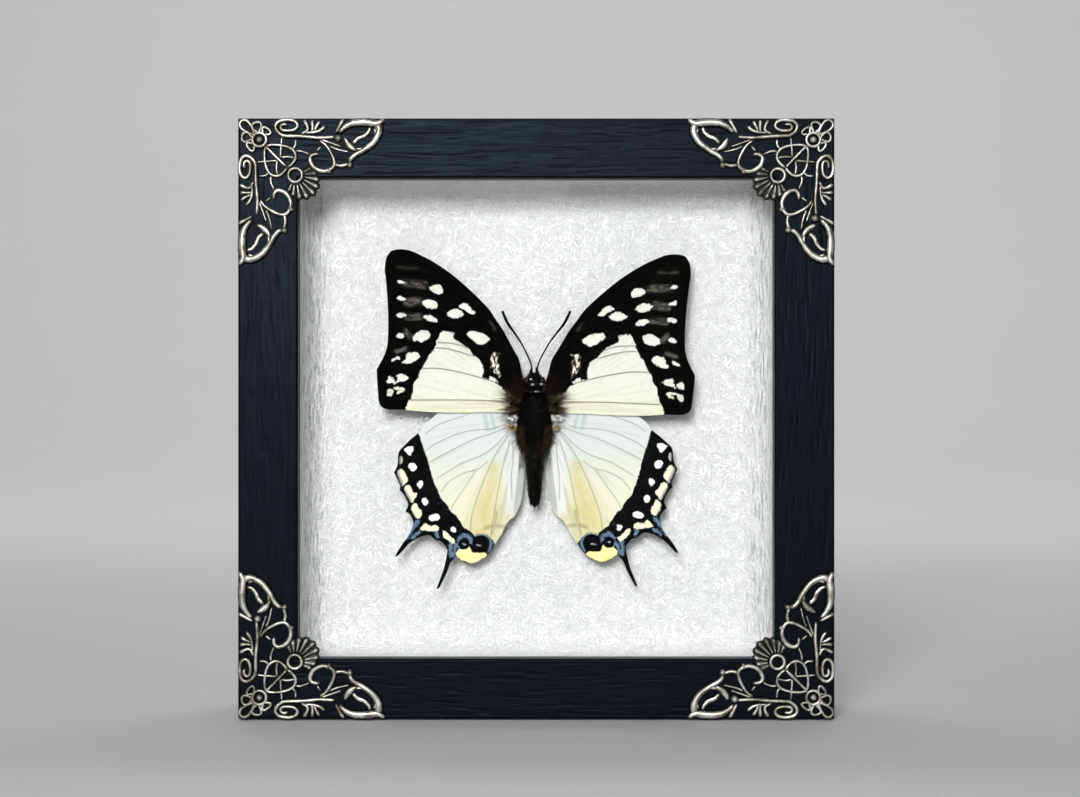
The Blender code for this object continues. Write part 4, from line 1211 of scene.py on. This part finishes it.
ANTENNA_PATH = [
    (0.6, 9.2), (0.8, 11.6), (1.7, 14.0), (3.0, 16.6), (4.1, 18.5), (5.5, 20.5), (7.0, 22.7),
    (8.4, 25.8),
]
ANTENNA_RADII = [0.2, 0.2, 0.2, 0.2, 0.22, 0.26, 0.34, 0.4, 0.32]
RIGHT_ANTENNA_STRETCH = 1.12


def body_point(out, level, forward):
    """A point by millimetres to the right of the axis, above the hinge, towards the glass."""
    return np.stack([BODY_X + np.asarray(out) * MM, BODY_Y - np.asarray(forward) * MM,
                     HINGE_Z + np.asarray(level) * MM], axis=-1)


def barrel(sections, around, rough, ripple, seed):
    """Rings (count, around, 3) of an elliptical body through its sections, read evenly.

    The radius is scaled by 1 + rough * noise + ripple * |sin| of the level, for segments.
    """
    profile = through(sections, 0.22)
    level, half_width, half_depth = profile.T
    turn = np.linspace(0, 2 * math.pi, around, endpoint=False)
    skin = value_noise(level[:, None] * 1.0, turn[None, :] * 2.6, (0.7, 0.7), seed)
    swell = 1 + rough * skin + ripple * np.abs(np.sin(level * math.pi / 3.4))[:, None]
    return body_point(half_width[:, None] * swell * np.cos(turn), np.repeat(level[:, None], around, 1),
                      half_depth[:, None] * swell * np.sin(turn))


def ball(shape, centre, radii):
    """An ellipsoid about a body point: radii * (cos a cos b, sin a, cos a sin b)."""
    lift = np.linspace(-math.pi / 2 * 0.97, math.pi / 2 * 0.97, 14)
    turn = np.linspace(0, 2 * math.pi, 24, endpoint=False)
    out = centre[0] + radii[0] * np.cos(lift)[:, None] * np.cos(turn)
    level = centre[1] + radii[1] * np.sin(lift)[:, None] * np.ones_like(turn)
    forward = centre[2] + radii[2] * np.cos(lift)[:, None] * np.sin(turn)
    closed_surface(shape, body_point(out, level, forward))


def tube(shape, path, radii, around=8):
    """A round tube along a path of body points (out, level, forward), with given radii."""
    path = through(path, 0.25)
    radius = np.interp(np.linspace(0, 1, len(path)), np.linspace(0, 1, len(radii)), radii)
    tangent = np.gradient(path, axis=0)
    tangent /= np.linalg.norm(tangent, axis=1, keepdims=True)
    side = np.cross(tangent, [0.0, 0.0, 1.0])
    side /= np.maximum(np.linalg.norm(side, axis=1, keepdims=True), 1e-9)
    other = np.cross(tangent, side)
    turn = np.linspace(0, 2 * math.pi, around, endpoint=False)[None, :, None]
    circle = np.cos(turn) * side[:, None] + np.sin(turn) * other[:, None]
    ring = path[:, None] + radius[:, None, None] * circle
    closed_surface(shape, body_point(ring[..., 0], ring[..., 1], ring[..., 2]))


def make_head(material):
    """Head capsule with two pointed palps."""
    shape = Shape()
    closed_surface(shape, barrel(HEAD_SECTIONS, 40, 0.03, 0.0, 31))
    tube(shape, [(-0.9, 8.2, 0.9), (-1.0, 9.6, 0.9), (-0.85, 11.0, 0.7)], [0.6, 0.55, 0.35, 0.08])
    tube(shape, [(0.65, 8.2, 0.9), (0.7, 9.7, 0.9), (0.35, 11.3, 0.7)], [0.6, 0.6, 0.38, 0.08])
    return shape.build("head_capsule", material, "insect_body", ("head",), sharp=math.radians(70))


def make_eyes(material):
    shape = Shape()
    for side in (-1, 1):
        ball(shape, (side * 2.0, 7.6, 0.5), (0.85, 1.1, 1.2))
    return shape.build("compound_eyes", material, "insect_body")


def make_barrel(name, sections, ripple, seed, material, node):
    shape = Shape()
    closed_surface(shape, barrel(sections, 56, 0.04, ripple, seed))
    return shape.build(name, material, "insect_body", (node,), sharp=math.radians(70))


def make_antenna(name, side, material, node):
    """A thin feeler that thickens to a slim club."""
    stretch = RIGHT_ANTENNA_STRETCH if side > 0 else 1.0
    shape = Shape()
    path = [(side * out * stretch, level, 0.4 + 0.02 * level) for out, level in ANTENNA_PATH]
    tube(shape, path, ANTENNA_RADII, around=10)
    return shape.build(name, material, "insect_body", (node,), sharp=math.radians(70))


class Coat:
    """Hairs waiting to be built: root, direction, length, radius and tint of each."""

    def __init__(self, seed):
        self.rng = np.random.default_rng(seed)
        self.rows = []

    def grow(self, roots, lean, length, radius, tints, spread=0.25):
        """Add a hair at each root, leaning that way with a random spread, in one of the tints."""
        count = len(roots)
        way = np.broadcast_to(np.asarray(lean, float), (count, 3))
        way = way + self.rng.normal(0, spread, (count, 3))
        way /= np.linalg.norm(way, axis=1, keepdims=True)
        reach = np.broadcast_to(length, count) * self.rng.uniform(0.6, 1.15, count)
        colors = np.array([linear(tint) for tint in tints])
        mix = self.rng.uniform(0, 1, (count, 1))
        pick = colors[self.rng.integers(0, len(colors), count)] * (0.75 + 0.5 * mix)
        thick = np.broadcast_to(radius, count) * self.rng.uniform(0.7, 1.2, count)
        self.rows.append((np.asarray(roots, float), way, reach, thick, pick))

    def build(self, name, material, bend=0.25):
        """Build every hair as a curved spike.

        Point(t) = root + length * (t * way + bend * t^2 * droop); its three-sided section
        has the radius r (1 - t), and the spike ends in a point.
        """
        root, way, reach, thick, tint = (np.concatenate(parts) for parts in zip(*self.rows))
        count = len(root)
        droop = self.rng.normal(0, 1, (count, 3))
        droop -= (droop * way).sum(1, keepdims=True) * way
        share = np.array([0.0, 0.35, 0.7])
        side = np.cross(way, [0.31, 0.87, 0.38])
        side /= np.linalg.norm(side, axis=1, keepdims=True)
        other = np.cross(way, side)
        turn = np.array([0.0, 2.0944, 4.18879])
        spine = (root[:, None] + reach[:, None, None] * (share[:, None] * way[:, None]
                 + bend * share[:, None] ** 2 * droop[:, None]))
        girth = thick[:, None, None, None] * (1 - share)[:, None, None]
        ring = (np.cos(turn)[:, None] * side[:, None, None] + np.sin(turn)[:, None] * other[:, None, None])
        rings = spine[:, :, None, :] + girth * ring
        tip = root + reach[:, None] * (way + bend * droop)
        points = np.concatenate([rings.reshape(count, 9, 3), tip[:, None]], axis=1)
        points = body_point(points[..., 0], points[..., 1], points[..., 2])
        starts = (np.arange(count) * 10)[:, None, None]
        quads = (grid_quads(3, 3, wrap_columns=True)[None] + starts).reshape(-1, 4)
        ends = (np.array([[2, 1, 0], [6, 7, 9], [7, 8, 9], [8, 6, 9]])[None] + starts).reshape(-1, 3)
        shape = Shape()
        shape.add(points, [quads, ends], tint=np.repeat(tint, 10, axis=0))
        return shape.build(name, material, "insect_body")


def skin_roots(rng, sections, count, low, high, turn_low=-0.4, turn_high=math.pi + 0.4):
    """Random roots on a body between two levels: their points (out, level, forward) and normals."""
    profile = through(sections, 0.1)[::-1]
    level = rng.uniform(low, high, count)
    wide = np.interp(level, profile[:, 0], profile[:, 1])
    deep = np.interp(level, profile[:, 0], profile[:, 2])
    turn = rng.uniform(turn_low, turn_high, count)
    roots = np.stack([wide * np.cos(turn), level, deep * np.sin(turn)], axis=1)
    normal = np.stack([np.cos(turn) / np.maximum(wide, 0.2), np.zeros(count),
                       np.sin(turn) / np.maximum(deep, 0.2)], axis=1)
    return roots, normal / np.linalg.norm(normal, axis=1, keepdims=True)


def disc_roots(rng, count, low, high, forward):
    """Random roots in a box given by its two corners (out, level), at one depth."""
    return np.stack([rng.uniform(low[0], high[0], count), rng.uniform(low[1], high[1], count),
                     np.full(count, forward)], axis=1)


SOOT = ("#010101", "#020201", "#050403", "#0b0907")
OLIVE = ("#1d190f", "#2f2a1d", "#4a4230", "#5e553f")
BROWN = ("#221a11", "#382b1d", "#554630", "#776447")
AMBER = ("#9c6c28", "#c39a4e", "#6f4b1e", "#d8bf88")
SMOKE = ("#5f5a4c", "#8d8876", "#b3af9f", "#3a352b")
WHITE = ("#f0efe8", "#ffffff")


def make_thorax_hair(material):
    """Short dark pile down the back, longer olive hair at the sides and the waist."""
    coat = Coat(301)
    roots, normal = skin_roots(coat.rng, THORAX_SECTIONS, 2600, -10.2, 4.2)
    coat.grow(roots, normal * 0.45 + [0, -1.0, 0], 1.2, 0.07, SOOT, 0.22)
    roots, normal = skin_roots(coat.rng, THORAX_SECTIONS, 260, -10.0, 3.0, 0.5, math.pi - 0.5)
    coat.grow(roots, normal * 0.5 + [0, -1.0, 0], 1.4, 0.07, ("#211e18", "#2d2a24"), 0.25)
    for side in (-1, 1):
        edge = (0.0, 0.9) if side > 0 else (math.pi - 0.9, math.pi)
        roots, normal = skin_roots(coat.rng, THORAX_SECTIONS, 420, -10.6, -3.5, *edge)
        coat.grow(roots, normal * 0.35 + [side * 0.15, -1.0, 0], 2.0, 0.075, OLIVE, 0.22)
        roots = disc_roots(coat.rng, 150, (3.3, -8.6), (4.0, -2.4), 0.3) * [side, 1, 1]
        coat.grow(roots, [side * 1.0, -0.45, 0.1], 1.5, 0.08, BROWN[:3] + SOOT[3:], 0.28)
        roots = disc_roots(coat.rng, 16, (3.6, -8.0), (4.1, -4.6), 0.4) * [side, 1, 1]
        coat.grow(roots, [side * 1.0, -0.4, 0.1], 2.6, 0.1, BROWN[1:], 0.2)
    roots, normal = skin_roots(coat.rng, THORAX_SECTIONS, 330, -10.6, -7.0)
    coat.grow(roots, normal * 0.3 + [0, -1.0, 0], 2.3, 0.075, OLIVE + SOOT, 0.2)
    return coat.build("thorax_hair", material)


def make_head_hair(material):
    """Black pile over head and collar, with four small white tufts."""
    coat = Coat(302)
    roots, normal = skin_roots(coat.rng, HEAD_SECTIONS, 600, 5.0, 9.4)
    coat.grow(roots, normal * 0.7 + [0, 0.35, 0], 0.7, 0.06, SOOT, 0.3)
    roots, normal = skin_roots(coat.rng, THORAX_SECTIONS, 400, 3.4, 4.5)
    coat.grow(roots, normal * 0.4 + [0, 0.9, 0], 1.1, 0.07, SOOT, 0.3)
    marks = [((-1.0, 8.1), 0.2, 0.12), ((-0.6, 6.7), 0.32, 0.2), ((1.75, 6.75), 0.28, 0.18),
             ((0.6, 4.9), 0.55, 0.13)]
    for (out, level), wide, tall in marks:
        roots = disc_roots(coat.rng, 150, (out - wide, level - tall), (out + wide, level + tall), 0.0)
        near = ((roots[:, 0] - out) / wide) ** 2 + ((roots[:, 1] - level) / tall) ** 2 < 1
        roots = roots[near]
        roots[:, 2] = 2.6 * np.sqrt(np.clip(1 - (roots[:, 0] / 2.9) ** 2, 0.1, 1))
        coat.grow(roots, [0.1, -0.3, 0.6], 0.35, 0.07, WHITE, 0.3)
    return coat.build("head_hair", material)


def make_abdomen_hair(material):
    """Close brown-black pile that lies backwards, with a bristle at the tip."""
    coat = Coat(303)
    roots, normal = skin_roots(coat.rng, ABDOMEN_SECTIONS, 1900, -24.6, -11.0)
    coat.grow(roots, normal * 0.3 + [0, -1.0, 0], 0.9, 0.06, SOOT + OLIVE[:1] + BROWN[:1], 0.18)
    for side in (-1, 1):
        edge = (-0.2, 0.7) if side > 0 else (math.pi - 0.7, math.pi + 0.2)
        roots, normal = skin_roots(coat.rng, ABDOMEN_SECTIONS, 330, -22.0, -11.0, *edge)
        coat.grow(roots, normal * 0.3 + [0, -1.0, 0], 1.3, 0.06, OLIVE + SMOKE[:1], 0.18)
    roots = disc_roots(coat.rng, 50, (-0.4, -24.9), (0.4, -24.2), 0.2)
    coat.grow(roots, [0.0, -1.0, 0.0], 0.9, 0.07, SOOT, 0.15)
    roots = disc_roots(coat.rng, 4, (-0.05, -25.0), (0.05, -24.8), 0.2)
    coat.grow(roots, [0.0, -1.0, 0.0], 1.7, 0.09, SOOT, 0.02)
    return coat.build("abdomen_hair", material, bend=0.12)


# Tufts on a wing root: centre and half size of the roots, depth, angles of the fan, count,
# length, radius and tints; millimetres and degrees, outwards and upwards from the body
ROOT_TUFTS = [
    ((4.4, 2.3), (0.5, 0.4), 1.6, (14, 36), 110, 5.6, 0.06, BROWN + SOOT[2:]),
    ((5.2, 2.7), (0.7, 0.4), 1.5, (16, 34), 90, 5.6, 0.05, SMOKE + BROWN[2:]),
    ((4.2, 1.5), (0.6, 0.4), 1.4, (2, 24), 50, 3.8, 0.06, SOOT + BROWN[:1]),
    ((4.2, 0.5), (0.5, 0.35), 1.3, (-4, 16), 110, 4.6, 0.06, BROWN + SOOT[2:]),
    ((5.2, 0.1), (0.8, 0.3), 1.35, (-18, 8), 50, 5.0, 0.05, BROWN[1:] + SMOKE),
    ((6.0, -0.6), (0.8, 0.2), 1.4, (-60, -20), 40, 2.4, 0.05, BROWN[1:] + SMOKE),
    ((6.1, -2.0), (0.75, 0.4), 1.25, (-30, 30), 240, 1.0, 0.15, WHITE),
    ((4.4, -0.95), (0.3, 0.12), 1.45, (-6, 4), 26, 6.0, 0.07, SOOT[3:] + BROWN[:3]),
    ((5.1, -5.0), (0.25, 0.25), 1.35, (26, 52), 20, 4.6, 0.07, AMBER),
    ((5.6, -4.4), (0.35, 0.3), 1.35, (-16, 14), 18, 3.6, 0.06, AMBER),
    ((6.1, -4.9), (0.45, 0.25), 1.3, (100, 230), 26, 1.3, 0.06, AMBER + BROWN[2:]),
    ((4.0, -6.5), (0.4, 1.2), 0.4, (-60, -20), 40, 3.0, 0.05, BROWN + SMOKE[:1]),
    ((3.6, -12.0), (0.4, 1.8), -0.6, (-88, -70), 50, 2.8, 0.06, SMOKE[:3]),
]


def make_wing_hair(material):
    """Fans of hair over the wing roots: brown above, white scales, amber hair behind."""
    coat = Coat(304)
    for side in (-1, 1):
        for centre, half, forward, (low, high), count, length, radius, tints in ROOT_TUFTS:
            roots = np.column_stack([coat.rng.normal(centre, half, (count, 2)), np.full(count, forward)])
            angle = np.radians(coat.rng.uniform(low, high, count))
            lean = np.stack([side * np.cos(angle), np.sin(angle), np.full(count, 0.05)], axis=1)
            reach = length * (0.35 + 0.95 * coat.rng.uniform(0, 1, count) ** 1.6)
            coat.grow(roots * [side, 1, 1], lean, reach, radius, tints, 0.14)
    return coat.build("wing_root_hair", material)


# ---------------------------------------------------------------- stage

CAMERA_LENS = 68.07                # focal length in millimetres
CAMERA_SENSOR = 36.0
CAMERA_DISTANCE = 520 * MM         # from the front of the frame
CAMERA_X = 0.95 * MM
CAMERA_Z = 81.6 * MM


def make_stage(look):
    """Studio cove, a large soft key lamp high in front, a weak fill, and the camera."""
    turn = np.linspace(0, 2 * math.pi, 96, endpoint=False)
    radius = np.array([0.02, 0.6, 1.2, 1.6, 1.85, 2.02, 2.12, 2.15, 2.15])
    level = np.array([0.0, 0.0, 0.0, 0.03, 0.12, 0.27, 0.5, 0.8, 2.6])
    curve = through(np.stack([radius, level], axis=1), 0.12)
    points = np.stack([curve[:, :1] * np.cos(turn), curve[:, :1] * np.sin(turn),
                       np.repeat(curve[:, 1:], len(turn), axis=1) - 0.0005], axis=-1)
    outside = points[::-1] * [1.01, 1.01, 1.0] - [0, 0, 0.01]
    shape = Shape()
    closed_surface(shape, np.concatenate([points, outside]))
    floor = shape.build("studio_cove", pale_floor(), None)
    middle = Vector((0.0, 0.0, MIDDLE_Z))
    # name, power, size in metres, spread in degrees, place, target
    lamps = [("key_lamp", look.key_power, 0.3, 70, Vector((-0.12, -0.9, 0.37)), middle),
             ("fill_lamp", look.fill_power, 1.2, 180, Vector((0.5, -1.3, 0.35)), middle),
             ("backdrop_lamp", look.backdrop_power, 1.2, 180, Vector((0.0, 0.7, 1.5)),
              Vector((0.0, 2.1, 0.3)))]
    for name, power, size, spread, place, target in lamps:
        lamp = bpy.data.lights.new(name, "AREA")
        lamp.shape = "SQUARE"
        lamp.size = size
        lamp.energy = power
        lamp.spread = math.radians(spread)
        lamp_object = bpy.data.objects.new(name, lamp)
        lamp_object.location = place
        lamp_object.rotation_euler = (target - place).to_track_quat("-Z", "Y").to_euler()
        lamp_object.visible_transmission = False
        bpy.context.scene.collection.objects.link(lamp_object)
    world = bpy.data.worlds.new("studio air")
    world.use_nodes = True
    world.node_tree.nodes["Background"].inputs["Color"].default_value = rgba("#f2f4f6")
    world.node_tree.nodes["Background"].inputs["Strength"].default_value = look.air
    bpy.context.scene.world = world
    camera = bpy.data.cameras.new("camera")
    camera.lens = CAMERA_LENS
    camera.sensor_width = CAMERA_SENSOR
    camera_object = bpy.data.objects.new("camera", camera)
    camera_object.location = (CAMERA_X, FRONT_Y - CAMERA_DISTANCE, CAMERA_Z)
    camera_object.rotation_euler = (math.pi / 2, 0.0, 0.0)
    bpy.context.scene.collection.objects.link(camera_object)
    bpy.context.scene.camera = camera_object
    bpy.context.scene.view_settings.view_transform = "Standard"


# ---------------------------------------------------------------- add-on

class SpecimenSizes(bpy.types.PropertyGroup):
    pore_depth: bpy.props.FloatProperty(
        name="Pore depth", description="How deep the wood's open pores are",
        default=0.07 * MM, min=0.0, max=0.5 * MM, precision=5, unit="LENGTH")
    crinkle: bpy.props.FloatProperty(
        name="Paper crinkle", description="Height of the lumps in the paper",
        default=0.14 * MM, min=0.0, max=1.0 * MM, precision=5, unit="LENGTH")
    fibres: bpy.props.IntProperty(
        name="Paper fibres", description="Long fibres laid on the paper", default=1500, min=0, max=2400)
    relief: bpy.props.FloatProperty(
        name="Silver relief", description="Scale of the corners' height", default=1.35, min=0.2, max=1.5)
    key_power: bpy.props.FloatProperty(
        name="Key lamp", description="Power of the key lamp in watts", default=1.25, min=0.0)
    fill_power: bpy.props.FloatProperty(
        name="Fill lamp", description="Power of the fill lamp in watts", default=0.6, min=0.0)
    backdrop_power: bpy.props.FloatProperty(
        name="Backdrop lamp", description="Power of the lamp on the cove in watts", default=20.0, min=0.0)
    air: bpy.props.FloatProperty(
        name="Room light", description="Strength of the even light", default=0.06, min=0.0)


def color_property(name, description, code):
    return bpy.props.FloatVectorProperty(name=name, description=description, subtype="COLOR",
                                         size=3, min=0.0, max=1.0, default=linear(code))


class SpecimenColors(bpy.types.PropertyGroup):
    wood_dark: color_property("Wood, dark", "Darkest tone of the stained rails", "#040506")
    wood_light: color_property("Wood, light", "Lightest tone of the stained rails", "#080b10")
    paper: color_property("Paper", "White of the lining", "#f1f2f2")
    silver: color_property("Silver", "Rubbed crests of the corners", "#e6e3da")
    wing_black: color_property("Wing, black", "Dark scales of the wings", "#0a0806")
    wing_white: color_property("Wing, white", "Pale scales away from the body", "#d6d7cf")
    wing_cream: color_property("Wing, cream", "Pale scales by the hind edge", "#d8d8bf")
    body: color_property("Body", "Chitin of the insect", "#080605")


class SPECIMEN_OT_stage(bpy.types.Operator):
    """Set up the pale cove, the lamps and the camera"""
    bl_idname = "specimen.stage"
    bl_label = "Stage"

    def execute(self, context):
        make_stage(context.scene.specimen_sizes)
        return {"FINISHED"}


class SPECIMEN_OT_rails(bpy.types.Operator):
    """Build the four mitred rails of stained wood"""
    bl_idname = "specimen.rails"
    bl_label = "Rails"

    def execute(self, context):
        material = stained_wood(context.scene.specimen_colors)
        for turns, word in enumerate(("top", "left", "bottom", "right")):
            make_rail("rail_%s_wood" % word, turns, material, context.scene.specimen_sizes.pore_depth)
        return {"FINISHED"}


class SPECIMEN_OT_lining(bpy.types.Operator):
    """Build the paper-lined tray and the long fibres on it"""
    bl_idname = "specimen.lining"
    bl_label = "Paper lining"

    def execute(self, context):
        sizes = context.scene.specimen_sizes
        make_tray(fibre_paper(context.scene.specimen_colors), sizes.crinkle)
        make_fibres(loose_fibre(), sizes.fibres, 400)
        return {"FINISHED"}


class SPECIMEN_OT_corners(bpy.types.Operator):
    """Build the four openwork silver corners"""
    bl_idname = "specimen.corners"
    bl_label = "Silver corners"

    def execute(self, context):
        material = antique_silver(context.scene.specimen_colors)
        words = ("top_left", "top_right", "bottom_right", "bottom_left")
        for turns, word in enumerate(words):
            make_corner(word, turns, material, context.scene.specimen_sizes.relief)
        return {"FINISHED"}


class SPECIMEN_OT_forewings(bpy.types.Operator):
    """Build both forewings with their markings and veins"""
    bl_idname = "specimen.forewings"
    bl_label = "Forewings"

    def execute(self, context):
        material = forewing_scales(context.scene.specimen_colors)
        for side, word in ((-1, "left"), (1, "right")):
            place = wing_place(side, FOREWING_HINGE, RIGHT_FOREWING_TURN, FOREWING_Y, forewing_depth)
            make_wing("forewing_%s_scales" % word, FOREWING_RUNS, FOREWING_CENTRE, FOREWING_VEINS,
                      place, forewing_values, material, "forewing_" + word)
        return {"FINISHED"}


class SPECIMEN_OT_hindwings(bpy.types.Operator):
    """Build both tailed hindwings with their markings and veins"""
    bl_idname = "specimen.hindwings"
    bl_label = "Hindwings"

    def execute(self, context):
        material = hindwing_scales(context.scene.specimen_colors)
        for side, word in ((-1, "left"), (1, "right")):
            place = wing_place(side, HINDWING_HINGE, RIGHT_HINDWING_TURN, HINDWING_Y, hindwing_depth)
            make_wing("hindwing_%s_scales" % word, HINDWING_RUNS, HINDWING_CENTRE, HINDWING_VEINS,
                      place, hindwing_values, material, "hindwing_" + word)
        return {"FINISHED"}


class SPECIMEN_OT_body(bpy.types.Operator):
    """Build head, eyes, thorax, abdomen and feelers"""
    bl_idname = "specimen.body"
    bl_label = "Body"

    def execute(self, context):
        material = chitin(context.scene.specimen_colors)
        make_head(material)
        make_eyes(compound_eye())
        make_barrel("thorax_shell", THORAX_SECTIONS, 0.0, 32, material, "thorax")
        make_barrel("abdomen_shell", ABDOMEN_SECTIONS, 0.09, 33, material, "abdomen")
        for side, word in ((-1, "left"), (1, "right")):
            make_antenna("feeler_" + word, side, material, "antenna_" + word)
        return {"FINISHED"}


class SPECIMEN_OT_hair(bpy.types.Operator):
    """Grow the hair on head, thorax, abdomen and wing roots"""
    bl_idname = "specimen.hair"
    bl_label = "Hair"

    def execute(self, context):
        material = tinted_hair("insect hair, low satin", 0.75)
        make_head_hair(material)
        make_thorax_hair(material)
        make_abdomen_hair(material)
        make_wing_hair(material)
        return {"FINISHED"}


class SPECIMEN_OT_fittings(bpy.types.Operator):
    """Finish the glass, the back board, its tabs, the hanger and the pad"""
    bl_idname = "specimen.fittings"
    bl_label = "Glass and back"

    def execute(self, context):
        steel = plated_steel()
        finishes = {"glass_pane": clear_glass(), "back_board": hardboard(), "thorax_pad": white_foam()}
        for name in ("back_tab_top", "back_tab_right", "back_tab_bottom", "back_tab_left",
                     "sawtooth_hanger", "hanger_nail_left", "hanger_nail_right"):
            finishes[name] = steel
        for name, material in finishes.items():
            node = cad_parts[name]
            node.data.materials.clear()
            node.data.materials.append(material)
        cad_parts["glass_pane"].visible_shadow = False
        return {"FINISHED"}


OPERATORS = (SPECIMEN_OT_stage, SPECIMEN_OT_rails, SPECIMEN_OT_lining, SPECIMEN_OT_corners,
             SPECIMEN_OT_forewings, SPECIMEN_OT_hindwings, SPECIMEN_OT_body, SPECIMEN_OT_hair,
             SPECIMEN_OT_fittings)


class SPECIMEN_PT_panel(bpy.types.Panel):
    """Every step of the specimen, and its sizes and colours"""
    bl_idname = "SPECIMEN_PT_panel"
    bl_label = "Butterfly Specimen"
    bl_space_type = "VIEW_3D"
    bl_region_type = "UI"
    bl_category = "Specimen"

    def draw(self, context):
        for group in (context.scene.specimen_sizes, context.scene.specimen_colors):
            box = self.layout.box()
            for name in group.bl_rna.properties.keys():
                if name not in ("rna_type", "name"):
                    box.prop(group, name)
        for operator in OPERATORS:
            self.layout.operator(operator.bl_idname)


CLASSES = (SpecimenSizes, SpecimenColors) + OPERATORS + (SPECIMEN_PT_panel,)


def register():
    for item in CLASSES:
        bpy.utils.register_class(item)
    bpy.types.Scene.specimen_sizes = bpy.props.PointerProperty(type=SpecimenSizes)
    bpy.types.Scene.specimen_colors = bpy.props.PointerProperty(type=SpecimenColors)


def unregister():
    del bpy.types.Scene.specimen_colors
    del bpy.types.Scene.specimen_sizes
    for item in reversed(CLASSES):
        bpy.utils.unregister_class(item)


def main():
    register()
    bpy.ops.specimen.stage()
    bpy.ops.specimen.rails()
    bpy.ops.specimen.lining()
    bpy.ops.specimen.corners()
    bpy.ops.specimen.forewings()
    bpy.ops.specimen.hindwings()
    bpy.ops.specimen.body()
    bpy.ops.specimen.hair()
    bpy.ops.specimen.fittings()


if __name__ == "__main__":
    main()
